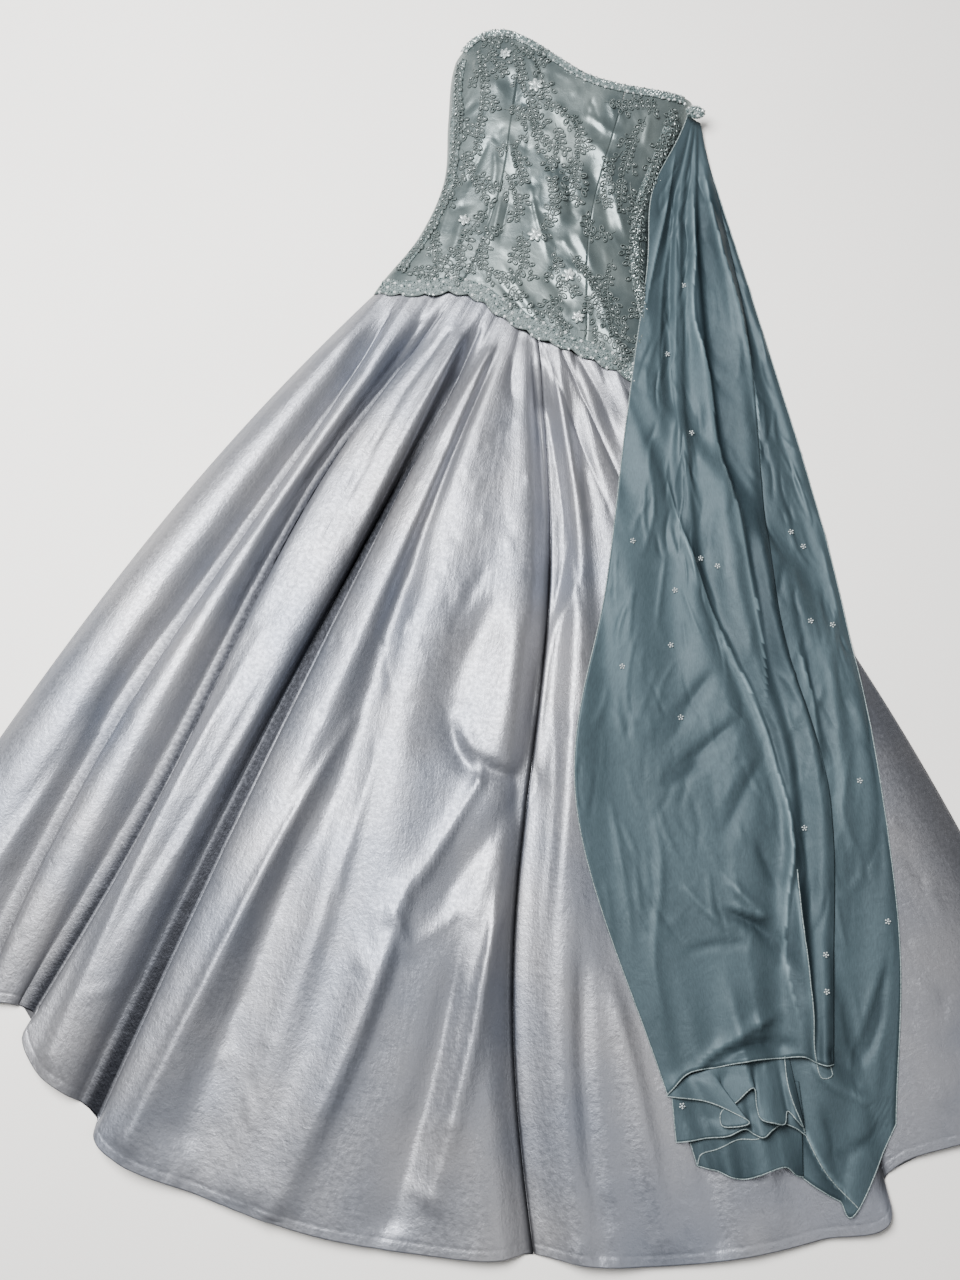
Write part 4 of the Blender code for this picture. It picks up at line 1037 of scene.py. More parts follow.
def band(name, path, left_half, right_half, columns, finish, over=None):
    """A band of tape along a path on the bodice; where over is given, its right side clears that cloth."""
    ahead = np.gradient(path, axis=0)
    ahead /= np.linalg.norm(ahead, axis=1)[:, None]
    to_left = np.column_stack([-ahead[:, 1], ahead[:, 0]])
    across = np.linspace(0.0, 1.0, columns)
    side = -right_half[:, None] + (left_half + right_half)[:, None] * across
    grid = bodice_surface(path[:, None] + to_left[:, None] * side[..., None], SHELL + TRIM_LIFT)
    if over is not None:
        under, _ = on_cloth(over, grid[..., :2].reshape(-1, 2))
        under = under[:, 2].reshape(grid.shape[:2]) + TRIM_LIFT
        grid[:, :, 2] = np.where(side < 0.0, np.maximum(grid[:, :, 2], under), grid[:, :, 2])
    tape = shell(name, grid, TAPE, finish, name)
    cloth_sheets.append((tape, grid, []))
    return tape, grid


def strewn(name, tape, node, finish, pitch, smallest, largest, seed):
    """Beads sewn all over a tape."""
    mesh = BEAD_TREE.run(tape, Pitch=pitch * MM, Smallest=smallest * MM, Largest=largest * MM,
                         Seed=seed, Material=finish)
    return place_piece(name, mesh, "bead_silver", node)


glass = Finish("glass beads, silver lined", 0.14, 0.5)
glass.speckle(240.0, (0.05, 0.075, 0.075), (0.50, 0.56, 0.55), 0.36, 0.66, detail=1.0)
glass.feed("Roughness", glass.ramp(glass.noise("Object", (900.0, 900.0, 900.0)), 0.08, 0.26))
crystal = Finish("clear crystal beads", 0.18, 0.2)
crystal.speckle(600.0, (0.30, 0.35, 0.35), (0.74, 0.78, 0.78))
net = Finish("net tape, teal", 0.55)
net.speckle(500.0, (0.04, 0.06, 0.06), (0.13, 0.17, 0.17))
net.bump(net.noise("UV", (800.0, 800.0, 1.0), detail=3.0), 0.3, 0.8)
cording = Finish("silk cord, teal", 0.5, 0.0)
cord_ply = cording.speckle(900.0, (0.018, 0.028, 0.028), (0.10, 0.122, 0.118), 0.3, 0.7)
cording.bump(cord_ply, 0.2, 0.8)

BEAD_TREE = bead_tree()
bead_sewing = sewing_tree("sewn faceted beads", bead_shape)
round_sewing = sewing_tree("sewn round beads", round_shape)
leaf_sewing = sewing_tree("sewn leaves of cord", leaf_shape)
petal_sewing = sewing_tree("sewn petals", petal_shape)

gown_tree = search_tree(bodice + gores)


def edge_path(table, span, count, inset):
    """Places along the neckline or the basque edge, moved down the bodice by inset."""
    share = np.linspace(*span, count)
    return bodice_place(share, table_curve(table, share)[:, 0] + inset)


NECK_STEPS = 121
NECK_SPAN = (-0.95, 0.93)
BASQUE_STEPS = SCALLOPS * 16 + 1
BASQUE_SPAN = (-0.97, 0.97)
SIDE_STEPS = 61
SIDE_SPAN = (0.07, 0.90)
SIDE_TRIMS = [("side_trim_left", -0.93), ("side_trim_right", 0.86)]
BAND_COLUMNS = 7
BASQUE_COLUMNS = 11
BEADING = [
    # piece, the band that it is on, its material, pitch, smallest and largest bead, seed
    ("neck_trim_beads", "neck_trim", glass, 2.9, 2.0, 3.6, 3),
    ("neck_trim_crystals", "neck_trim", crystal, 8.5, 3.2, 4.8, 13),
    ("basque_trim_beads", "basque_trim", glass, 2.6, 1.5, 3.4, 4),
    ("basque_trim_crystals", "basque_trim", crystal, 11.0, 3.4, 5.4, 14),
    ("side_trim_left_beads", "side_trim_left", glass, 2.6, 1.5, 3.4, 5),
    ("side_trim_right_beads", "side_trim_right", glass, 2.6, 1.5, 3.4, 6),
]
neck_half = np.full(NECK_STEPS, NECK_TRIM / 2)
neck_path = edge_path(NECKLINE, NECK_SPAN, NECK_STEPS, NECK_TRIM / 2 - 1.0)
neck_tape, _ = band("neck_trim", neck_path, neck_half, neck_half, BAND_COLUMNS, net.material)
basque_path = edge_path(BASQUE_EDGE, BASQUE_SPAN, BASQUE_STEPS, -BASQUE_TRIM / 2 + 4.0)
scallops = np.abs(np.sin(math.pi * np.linspace(0.0, SCALLOPS, BASQUE_STEPS)))
basque_tape, basque_grid = band("basque_trim", basque_path, np.full(BASQUE_STEPS, BASQUE_TRIM / 2),
                                BASQUE_TRIM / 2 - SCALLOP + SCALLOP * scallops, BASQUE_COLUMNS,
                                net.material, over=gown_tree)
tapes = {"neck_trim": neck_tape, "basque_trim": basque_tape}
side_heights = np.linspace(*SIDE_SPAN, SIDE_STEPS)
side_half = np.full(SIDE_STEPS, SIDE_TRIM / 2)
for name, share in SIDE_TRIMS:
    side_path = on_bodice(np.full(SIDE_STEPS, share), side_heights)
    tapes[name], _ = band(name, side_path, side_half, side_half, BAND_COLUMNS, net.material)
for name, node, finish, pitch, smallest, largest, seed in BEADING:
    strewn(name, tapes[node], node, finish.material, pitch, smallest, largest, seed)
bodice_tree = search_tree(bodice + list(tapes.values()))

zip_line = zip_grid[:, zip_grid.shape[1] // 2]
zip_run = np.concatenate([[0.0], np.cumsum(np.linalg.norm(np.diff(zip_line, axis=0), axis=1))])
zip_at = np.arange(ZIP_PITCH, zip_run[-1] - ZIP_PITCH, ZIP_PITCH)
teeth = np.column_stack([np.interp(zip_at, zip_run, zip_line[:, k]) for k in range(3)])
teeth[:, 0] += ZIP_TOOTH[0] * 0.3 * np.where(np.arange(len(teeth)) % 2, 1.0, -1.0)
teeth[:, 2] = BACK_LIFT + BACK_PANEL_SHELL + ZIP_TOOTH[2] / 2
teeth_sizes = np.tile(ZIP_TOOTH, (len(teeth), 1))
teeth_sizes[0] = ZIP_SLIDER
place_piece("zip_teeth", upright_beads(zip_tape.material, teeth, teeth_sizes), "cord_teal")
edge_cord = basque_grid[:, 0] + (0.0, 0.0, 1.0)
place_piece("basque_cord", tube_mesh([edge_cord], BASQUE_CORD, cording.material), "cord_teal")

# The sprays on the bodice: stems of twisted cord with pairs of leaf loops, a clear bead in each leaf,
# and padded flowers with beaded centers, all couched by hand through the organza. Their layout is general.
SPRAYS = [
    # name, then share of half width and share of height at the root, bend and tip
    ("spray_bust_left", -0.82, 0.06, -0.70, 0.24, -0.72, 0.46),
    ("spray_bust_center", -0.50, 0.08, -0.34, 0.20, -0.20, 0.32),
    ("spray_bust_right", -0.22, 0.20, 0.14, 0.20, 0.26, 0.46),
    ("spray_side_right", 0.66, 0.10, 0.62, 0.26, 0.70, 0.44),
    ("spray_waist_left", -0.86, 0.44, -0.62, 0.60, -0.44, 0.58),
    ("spray_waist_center", -0.14, 0.74, 0.10, 0.56, 0.02, 0.44),
    ("spray_waist_right", 0.68, 0.52, 0.54, 0.56, 0.36, 0.53),
    ("spray_hip_left", -0.50, 0.67, -0.60, 0.79, -0.52, 0.90),
    ("spray_hip_right", 0.66, 0.62, 0.60, 0.76, 0.62, 0.89),
]
FLOWERS = [
    # name, share of half width, share of height, petal reach
    ("flower_bust_left", -0.58, 0.10, 9.0),
    ("flower_bust_center", -0.28, 0.16, 11.0),
    ("flower_waist_center", -0.02, 0.66, 11.0),
    ("flower_hip_left", -0.66, 0.72, 9.0),
    ("flower_hip_center", 0.30, 0.74, 10.0),
    ("flower_hip_right", 0.38, 0.88, 9.0),
]
VINES = [
    # the smaller vines between them: share and height at the root, bend and tip
    (-0.93, 0.20, -0.90, 0.34, -0.94, 0.48),
    (-0.60, 0.03, -0.42, 0.06, -0.22, 0.05),
    (-0.52, 0.30, -0.30, 0.28, -0.06, 0.33),
    (-0.28, 0.34, -0.36, 0.44, -0.22, 0.52),
    (0.30, 0.08, 0.50, 0.07, 0.72, 0.05),
    (0.14, 0.30, 0.24, 0.40, 0.36, 0.42),
    (0.84, 0.16, 0.90, 0.34, 0.82, 0.48),
    (0.72, 0.34, 0.86, 0.48, 0.80, 0.62),
    (-0.70, 0.50, -0.90, 0.60, -0.92, 0.74),
    (-0.44, 0.52, -0.30, 0.56, -0.18, 0.66),
    (-0.14, 0.68, -0.06, 0.80, -0.16, 0.90),
    (-0.30, 0.70, -0.42, 0.80, -0.34, 0.90),
    (-0.88, 0.76, -0.74, 0.84, -0.62, 0.94),
    (0.16, 0.66, 0.26, 0.80, 0.18, 0.90),
    (0.30, 0.66, 0.46, 0.72, 0.54, 0.82),
    (0.84, 0.66, 0.88, 0.80, 0.76, 0.92),
    (0.40, 0.92, 0.56, 0.90, 0.74, 0.94),
    (0.00, 0.93, 0.16, 0.91, 0.32, 0.93),
    (-0.94, 0.05, -0.93, 0.26, -0.94, 0.50),
    (-0.95, 0.52, -0.93, 0.72, -0.92, 0.90),
    (0.92, 0.08, 0.88, 0.28, 0.91, 0.50),
    (0.92, 0.52, 0.88, 0.70, 0.90, 0.90),
    (-0.88, 0.02, -0.74, 0.03, -0.60, 0.01),
    (-0.76, 0.08, -0.66, 0.12, -0.56, 0.17),
    (-0.90, 0.92, -0.70, 0.90, -0.50, 0.92),
    (-0.40, 0.89, -0.20, 0.89, -0.02, 0.90),
    (0.44, 0.80, 0.56, 0.84, 0.72, 0.82),
    (0.80, 0.04, 0.88, 0.08, 0.94, 0.16),
    (-0.34, 0.10, -0.24, 0.13, -0.16, 0.20),
    (-0.06, 0.24, 0.02, 0.30, -0.02, 0.40),
    (0.56, 0.24, 0.50, 0.34, 0.58, 0.44),
]
LEAF_PITCH = 8.2
LEAF_LENGTH = 9.2
LEAF_SIZES = (0.8, 1.1)
LEAF_SPREAD = 50.0
LEAF_WANDER = 9.0
LEAF_LIFT = 0.9
LEAF_ROOM = 6.0
LEAF_BEAD = (0.40, 0.22, 0.20)
STEM_RADIUS = 0.55
TWIG_LENGTH = 24.0
TWIG_HALVES = (0.35, 0.6)
TWIG_TURNS = (48.0, 66.0)
TWIG_BENDS = (5.0, 30.0)
TWIGS = 3
FLOWER_GUARD = 8


def stations(path, pitch):
    """Points at an even pitch along a flat path, with the direction of the path at each."""
    run = np.linalg.norm(np.diff(path, axis=0), axis=1)
    at = np.concatenate([[0.0], np.cumsum(run)])
    where = np.arange(pitch, at[-1], pitch)
    points = np.column_stack([np.interp(where, at, path[:, k]) for k in range(2)])
    ahead = np.column_stack([np.interp(where, at, np.gradient(path[:, k], at)) for k in range(2)])
    return points, ahead / np.linalg.norm(ahead, axis=1)[:, None]


def turned(vectors, degrees):
    angle = math.radians(degrees)
    turn = np.array([[math.cos(angle), -math.sin(angle)], [math.sin(angle), math.cos(angle)]])
    return np.asarray(vectors) @ turn.T


def sprays_of(names, stems, chance):
    """Stems with twigs and pairs of leaves, each spray as one piece; its beads are kept for later."""
    for name, stem in zip(names, stems):
        paths = [stem]
        length = np.linalg.norm(np.diff(stem, axis=0), axis=1).sum()
        roots, root_ahead = stations(stem, length / (TWIGS + 1))
        for k, (root, ahead) in enumerate(zip(roots[:TWIGS], root_ahead)):
            side = 1.0 if k % 2 else -1.0
            bearing = turned([ahead], side * chance.uniform(*TWIG_TURNS))[0]
            bend = turned([ahead], side * chance.uniform(*TWIG_BENDS))[0]
            half = TWIG_LENGTH * chance.uniform(*TWIG_HALVES)
            twig = [root, root + bearing * half, root + (bearing + bend) * half]
            twig = curve_through(twig, [0.0, 0.5, 1.0], np.linspace(0.0, 1.0, 10))
            if on_cloth(bodice_tree, twig)[0][:, 2].min() > 0.0:
                paths.append(twig)
        spots, facing, bearings, sizes, cords = [], [], [], [], []
        for path in paths:
            under, normals = on_cloth(bodice_tree, path)
            cords.append(under + normals * STEM_RADIUS)
            points, ahead = stations(path, LEAF_PITCH)
            if not len(points):
                continue
            under, normals = on_cloth(bodice_tree, points)
            for side in (-1.0, 1.0):
                for point, normal, way in zip(under, normals, ahead):
                    spread = LEAF_SPREAD + chance.uniform(-LEAF_WANDER, LEAF_WANDER)
                    bearing = turned([way], side * spread)[0]
                    size = LEAF_LENGTH * chance.uniform(*LEAF_SIZES)
                    middle = point[:2] + bearing * size * 0.5
                    tip = point[:2] + bearing * size
                    if on_cloth(bodice_tree, [tip])[0][0, 2] <= 0.0:
                        continue
                    if taken and np.min(np.linalg.norm(np.array(taken) - middle, axis=1)) < LEAF_ROOM:
                        continue
                    taken.append(middle)
                    spots.append(point + normal * LEAF_LIFT)
                    facing.append(normal)
                    bearings.append((*bearing, 0.0))
                    sizes.append(size)
        spots, facing, bearings, sizes = (np.array(part) for part in (spots, facing, bearings, sizes))
        leaves = sewn_mesh(leaf_sewing, cording.material, spots, facing, bearings, sizes)
        stems_mesh = tube_mesh(cords, STEM_RADIUS, cording.material)
        nodes = [name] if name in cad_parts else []
        place_piece(name + "_cords", joined([leaves, stems_mesh]), "cord_teal", *nodes)
        leaf_beads.append((spots + bearings * sizes[:, None] * 0.5 + facing * 0.3, facing, bearings,
                           sizes[:, None] * LEAF_BEAD))


def stem_through(knots):
    shares = curve_through(np.array(knots, float).reshape(3, 2), [0.0, 0.5, 1.0], np.linspace(0.0, 1.0, 40))
    return on_bodice(shares[:, 0], shares[:, 1])


taken, leaf_beads = [], []
for name, share, height, reach in FLOWERS:
    centre = on_bodice(share, height)[0]
    taken += list(centre + ring_of(FLOWER_GUARD, 0.0)[:, :2] * reach * 0.6)
spray_chance = np.random.default_rng(40)
sprays_of([row[0] for row in SPRAYS], [stem_through(row[1:]) for row in SPRAYS], spray_chance)
sprays_of([f"vine_{k + 1}" for k in range(len(VINES))], [stem_through(row) for row in VINES], spray_chance)
oval_beads = sewn_mesh(round_sewing, glass.material, *(np.vstack(part) for part in zip(*leaf_beads)))
oval_beads.shade_smooth()
place_piece("leaf_beads", oval_beads, "bead_silver")

# The flowers: six padded drops each around a faceted center, with a ring of smaller beads between.
PETALS = 6
PETAL_LIFT = 1.8
CENTER_LIFT = 4.0
RING_LIFT = 3.4
INNER_RING = 2.9
OUTER_RING = 0.72
CENTER_BEAD = 4.6
INNER_BEAD = 2.6
OUTER_BEAD = 2.2
petal_finish = Finish("glass drops of the flowers", 0.16, 0.4)
petal_finish.speckle(200.0, (0.22, 0.27, 0.27), (0.60, 0.66, 0.65))
petal_finish.bump(petal_finish.noise("Object", (700.0, 700.0, 700.0), detail=3.0), 0.25, 0.7)
flower_beads, flower_bead_sizes = [], []
for name, share, height, reach in FLOWERS:
    centre = on_bodice(share, height)
    under, normal = on_cloth(bodice_tree, centre)
    bearing = ring_of(PETALS, share)
    facing = np.repeat(normal, PETALS, axis=0)
    mesh = sewn_mesh(petal_sewing, petal_finish.material, under + facing * PETAL_LIFT, facing, bearing,
                     np.full(PETALS, reach))
    place_piece(name, mesh, "bead_silver", name)
    above = under + (0.0, 0.0, RING_LIFT)
    flower_beads += [under + normal * CENTER_LIFT, above + bearing * INNER_RING,
                     above + bearing * reach * OUTER_RING]
    flower_bead_sizes += [[CENTER_BEAD], np.full(PETALS, INNER_BEAD), np.full(PETALS, OUTER_BEAD)]
flower_mesh = upright_beads(crystal.material, np.vstack(flower_beads), np.concatenate(flower_bead_sizes))
place_piece("flower_beads", flower_mesh, "bead_silver")

# The sash: two falls of crisp teal organza from a beaded knot at the corner of the neckline, lying
# over the bodice and skirt in long folds, with rolled hems and three turned-up tiers at the end.
SASH_UPPER = [
    # name, x and y at the knot, at the waist, at the hip, at the knee and at the end; then fold height
    ("left edge", 134, 698, 107, 478, 101, 28, 98, -262, 244, -576, 0),
    ("left roll", 137, 697, 120, 473, 135, 38, 135, -262, 262, -552, 5),
    ("left hollow", 139, 696, 135, 468, 185, 18, 205, -242, 300, -537, 1),
    ("fold b ridge", 142, 696, 148, 463, 222, 13, 300, -207, 345, -522, 8),
    ("fold b edge", 144, 696, 160, 458, 246, 3, 338, -197, 372, -517, 2),
    ("fold a ridge", 146, 695, 174, 453, 274, 8, 352, -192, 396, -512, 9),
    ("fold a edge", 148, 695, 184, 448, 292, 8, 364, -192, 410, -516, 1),
    ("c ridge", 150, 695, 214, 448, 312, 13, 388, -197, 422, -518, 6),
    ("c edge", 152, 694, 232, 444, 322, 8, 404, -217, 432, -516, 0),
]
SASH_LOWER = [
    ("hidden edge", 136, 684, 200, 438, 250, 8, 290, -292, 382, -632, 0),
    ("hollow", 140, 684, 214, 436, 290, 8, 352, -292, 404, -643, 0),
    ("ridge", 144, 683, 228, 434, 352, 8, 412, -297, 428, -655, 5),
    ("dip", 148, 683, 240, 432, 384, 8, 452, -310, 452, -664, 1),
    ("tip", 151, 682, 250, 430, 402, 8, 482, -327, 474, -668, 3),
    ("right edge", 153, 681, 256, 428, 411, 10, 495, -340, 511, -572, 0),
]
SASH_PLACES = [0.0, 0.19, 0.52, 0.77, 1.0]
SASH_GATHER = 0.16
SASH_GATHER_LIFT = 3.0
SASH_SPREAD = 20.0
SPREAD_AT = 0.105
SPREAD_LENGTH = 0.065
SPREAD_FADE = 0.6
SASH_WALL = 0.6
HEM_RADIUS = 0.75
UPPER_TONE = 0.50
LOWER_TONE = 0.52
# Painted light and shade of the sash's creases: how much lighter its raised cloth and darker its sunken cloth
# is painted, per millimetre.
CREASE_SHADE = 0.045
# Painted highlight along the lip of each turned edge of the sash, and its width.
LIP_LIGHT = 0.9
LIP_WIDTH = 3.0
SASH_ROWS = 300
SASH_STEP = 3.0
LAY_CLEAR = 0.8
GROUND_ROOM = (70.0, 560.0, -740.0, 740.0)
GROUND_CELL = 4.0
GROUND_SLOPE = 0.5
SASH_TAIL = [
    # name, shade, then places (x, y) along its top line and places (x, y, lift) along its folded hem
    ("sash_tail_lower", 0.36, ((268, -606), (312, -596), (356, -584), (399, -572)),
     ((287, -649, 1), (298, -650, 5), (310, -651, 2), (326, -655, 6), (342, -655, 2), (356, -648, 9),
      (370, -640, 12), (386, -635, 11), (400, -643, 6), (408, -644, 1))),
    ("sash_tail_middle", 0.42, ((246, -560), (300, -552), (345, -546), (394, -540)),
     ((260, -627, 1), (271, -624, 5), (294, -617, 2), (318, -610, 6), (336, -600, 8), (345, -604, 3),
      (354, -606, 6), (366, -596, 7), (378, -589, 3), (392, -591, 5), (406, -598, 1))),
    ("sash_tail_upper", 0.46, ((246, -562), (282, -543), (315, -530), (340, -519), (380, -512)),
     ((244, -578, 1), (266, -577, 4), (290, -577, 3), (316, -583, 6), (337, -592, 8), (322, -599, 5),
      (308, -600, 2), (306, -588, 1), (322, -572, 4), (340, -554, 7), (345, -573, 4), (350, -586, 8),
      (364, -588, 11), (378, -588, 8), (382, -574, 3), (392, -582, 6), (404, -592, 1))),
]
LAID_HEMS = [
    # hems that lie on the cloth below them
    ((369, -298), (380, -362), (392, -413), (402, -463), (411, -514), (420, -533), (431, -528), (428, -518)),
    ((375, -515), (382, -551), (406, -597), (430, -633), (472, -668)),
    ((287, -649), (289, -637), (304, -629), (331, -613), (350, -609), (368, -596)),
]
FOLDS = [
    # a turned edge of organza: places (x, y) down it; height and width of its lip, on the left;
    # how much darker the cloth at its right is, where it lies double and a painted shadow of the edge falls,
    # and how far that reaches; a painted highlight runs along its lip
    (((148, 628), (164, 511), (176, 398), (197, 343), (225, 224), (250, 158), (277, 67), (293, 15),
      (310, -62), (316, -126)), 4.0, 9, 0.42, 44),
    (((150, 219), (164, 168), (180, 127), (214, 54), (235, 10), (260, -35), (291, -84), (315, -130),
      (332, -172), (351, -222), (362, -270), (361, -337), (366, -400), (382, -455), (398, -500)),
     4.0, 9, 0.26, 26),
    (((369, -298), (380, -362), (392, -413), (402, -463), (411, -514), (418, -530)), 4.0, 6, 0.25, 14),
    (((345, -19), (371, -90), (383, -137), (389, -171)), 2.5, 5, 0.16, 12),
    (((122, 650), (120, 560), (112, 470), (106, 380)), 2.5, 5, 0.12, 12),
    (((160, 640), (196, 520), (240, 400), (268, 300), (284, 190)), 3.0, 6, 0.22, 22),
    (((472, -668), (430, -633), (406, -597), (382, -551), (375, -515)), 4.0, 8, 0.35, 18),
]
SASH_CREASES = [
    # places (x, y) down the crease; width to the left and to the right, height, sharpness
    (((138, 573), (128, 485), (132, 353), (150, 206)), 4, 6, 3.0, 0.6),
    (((126, 623), (128, 578), (124, 502), (118, 434)), 6, 6, -3.0, 0.2),
    (((185, 535), (203, 483), (219, 422), (232, 367)), 3, 4, 2.4, 0.8),
    (((185, 493), (197, 428), (202, 387)), 3, 3, 2.0, 0.8),
    (((252, -58), (213, -127), (175, -190)), 10, 12, -4.5, 0.3),
    (((291, -116), (246, -165), (198, -226)), 8, 10, -4.5, 0.4),
    (((319, -162), (293, -226), (275, -284)), 8, 9, -4.0, 0.3),
    (((190, -228), (226, -200), (264, -174)), 7, 8, -3.0, 0.3),
    (((171, 79), (170, 37), (169, -37)), 3, 4, 2.2, 0.7),
    (((137, 27), (123, -29), (123, -59)), 3, 4, 2.2, 0.7),
    (((134, -80), (146, -128), (162, -177)), 3, 4, 2.2, 0.7),
    (((132, -232), (149, -285), (190, -441)), 4, 5, 3.0, 0.6),
    (((179, -225), (205, -305), (213, -438), (241, -517)), 4, 6, 3.0, 0.6),
    (((316, -262), (330, -292), (358, -332)), 7, 8, -4.0, 0.4),
    (((277, -311), (307, -339), (341, -359)), 5, 6, 3.5, 0.6),
    (((281, -353), (323, -366), (352, -386), (368, -405)), 5, 6, -4.0, 0.6),
    (((229, -329), (254, -352), (283, -372), (306, -385)), 4, 6, 3.0, 0.6),
    (((239, -421), (262, -407), (328, -392)), 4, 5, -2.6, 0.6),
    (((264, -558), (289, -528), (332, -490), (379, -460)), 3, 9, 5.0, 0.6),
    (((274, -550), (306, -525), (338, -506), (372, -501), (395, -500)), 8, 5, -7.0, 0.4),
    (((276, -356), (317, -368), (344, -381), (366, -404), (382, -419)), 7, 7, -5.0, 0.4),
    (((284, -351), (320, -359), (355, -356)), 4, 5, 4.0, 0.6),
    (((419, -497), (441, -514), (460, -536), (472, -549)), 7, 6, -5.0, 0.3),
    (((399, -512), (422, -534), (470, -551), (511, -569)), 3, 8, 5.0, 0.7),
    (((487, -378), (479, -443), (466, -503), (471, -481)), 4, 8, -5.0, 0.5),
    (((427, -618), (457, -609), (489, -589), (505, -577)), 6, 6, -4.0, 0.4),
    (((485, -425), (477, -466), (456, -513)), 5, 7, -5.0, 0.6),
    (((352, 120), (384, -20), (416, -180), (438, -330)), 8, 10, 3.5, 0.2),
    (((330, 60), (366, -60), (400, -200)), 7, 8, -3.5, 0.3),
    (((430, -60), (462, -200), (474, -340)), 9, 9, -3.5, 0.2),
    (((420, -560), (440, -600), (462, -650)), 8, 8, -3.5, 0.3),
]
SASH_WRINKLES = 190
SASH_WRINKLE = (130.0, 4.5, 2.0)
TAIL_ROWS = 24
TAIL_COLUMNS = 150
SASH_FLOWERS = [
    # places (x, y) of the small flowers of beads that are scattered over the sash
    (186, 241), (238, 66), (190, -44), (212, -133), (359, 10), (389, 11), (345, 111), (327, 127),
    (375, -247), (482, -344), (411, -393), (415, -435), (188, 27), (215, 74), (436, -181), (262, -586),
    (154, 452), (143, 347), (133, -81), (127, 82),
]
SASH_FLOWER_BEADS = 5
SASH_BEAD_LIFT = 1.2
SASH_BEAD_RING = 2.7
SASH_BEAD_SIZES = (2.6, 2.3)


def smooth_path(places, count):
    """A smooth path of count points through given points."""
    knots = np.array(places, float)
    run = np.linalg.norm(np.diff(knots, axis=0), axis=1)
    at = np.concatenate([[0.0], np.cumsum(run)])
    return curve_through(knots, at, np.linspace(0.0, at[-1], count))


def shade_beside(tone_and_painted_shade, grid, path, depth, reach):
    """Darken the cloth at the right of a path, most beside it, where it lies double and a painted shadow of
    the edge falls; a painted highlight runs along the path at its left.
    """
    near, distance, side, share = beside_path(grid, path, 2.0 * reach)
    ends = smooth_step(0.0, 0.12, share) * smooth_step(1.0, 0.88, share)
    dark = np.where(side < 0.0, 0.0, depth * np.exp(-(distance / reach) ** 2)) * ends
    light = np.where(side < 0.0, LIP_LIGHT * np.exp(-(distance / LIP_WIDTH) ** 2), 0.0) * ends
    tone_and_painted_shade[near] += light - dark


def ground_under(pieces):
    """Heights of what lies under the sash, in a raster no steeper than stiff organza lies."""
    tree = search_tree(pieces)
    low_x, high_x, low_y, high_y = GROUND_ROOM
    xs = np.arange(low_x, high_x, GROUND_CELL)
    ys = np.arange(low_y, high_y, GROUND_CELL)
    places = np.stack(np.meshgrid(xs, ys), axis=-1).reshape(-1, 2)
    under, _ = on_cloth(tree, places)
    heights = under[:, 2].reshape(len(ys), len(xs))
    drop = GROUND_SLOPE * GROUND_CELL
    for axis in (0, 1, 0, 1):
        ramp = drop * np.arange(heights.shape[axis])
        ramp = ramp[:, None] if axis == 0 else ramp[None, :]
        for _ in range(2):
            heights = np.flip(np.maximum.accumulate(heights + ramp, axis=axis) - ramp, axis)
    smooth = heights
    for axis in (0, 1, 0, 1, 0, 1):
        smooth = (smooth + np.roll(smooth, 1, axis) + np.roll(smooth, -1, axis)) / 3.0
    return np.maximum(smooth, heights)


def ground_height(ground, places):
    """The raster's height at flat places."""
    column = (places[..., 0] - GROUND_ROOM[0]) / GROUND_CELL
    row = (places[..., 1] - GROUND_ROOM[2]) / GROUND_CELL
    c = np.clip(column.astype(int), 0, ground.shape[1] - 2)
    r = np.clip(row.astype(int), 0, ground.shape[0] - 2)
    u, v = np.clip(column - c, 0.0, 1.0), np.clip(row - r, 0.0, 1.0)
    upper = ground[r, c] * (1.0 - u) + ground[r, c + 1] * u
    lower = ground[r + 1, c] * (1.0 - u) + ground[r + 1, c + 1] * u
    return upper * (1.0 - v) + lower * v


def sash_fall(name, table, base_tone, ground, gather_lift, waist_spread, seed):
    """One fall of the sash: lines through five places each, joined across and laid on what is below."""
    shares = np.linspace(0.0, 1.0, SASH_ROWS)
    opened = np.minimum(1.0, shares / SASH_GATHER)
    lines = []
    for k, row in enumerate(table):
        path = curve_through(np.array(row[1:11], float).reshape(5, 2), SASH_PLACES, shares)
        path[:, 0] -= waist_spread * SPREAD_FADE**k * np.exp(-((shares - SPREAD_AT) / SPREAD_LENGTH) ** 2)
        lines.append(np.column_stack([path, row[11] * opened + gather_lift * (1.0 - opened)]))
    grid = across_lines(np.array(lines), SASH_STEP, 0.0)
    tone_and_painted_shade = np.full(grid.shape[:2], base_tone)
    under = ground_height(ground, grid)
    grid[:, :, 2] += under + LAY_CLEAR
    calm = grid[:, :, 2].copy()
    for places, lip, width, depth, reach in FOLDS:
        path = smooth_path(places, 50)
        crease(grid, path, width, 3.0, lip, 0.3)
        shade_beside(tone_and_painted_shade, grid, path, depth, reach)
    for places, left, right, height, sharp in SASH_CREASES:
        crease(grid, smooth_path(places, 20), left, right, height, sharp)
    chance = np.random.default_rng(seed)
    for _ in range(SASH_WRINKLES):
        r = chance.integers(10, SASH_ROWS - 40)
        c = chance.integers(2, grid.shape[1] - 2)
        ahead = grid[r + 30, c, :2] - grid[r, c, :2]
        heading = math.atan2(ahead[0], -ahead[1]) + chance.normal(0.0, 0.25)
        wrinkle(grid, chance, grid[r, c, :2].copy(), heading, *SASH_WRINKLE)
    # Painted light and shade: raised creases are painted lighter and sunken ones darker.
    tone_and_painted_shade += CREASE_SHADE * np.clip(grid[:, :, 2] - calm, -6.0, 5.0)
    grid[:, :, 2] = np.maximum(grid[:, :, 2], under + LAY_GAP)
    piece = shell(name, grid, SASH_WALL, organza.material, name, tone_and_painted_shade)
    cloth_sheets.append((piece, grid, []))
    return piece, grid


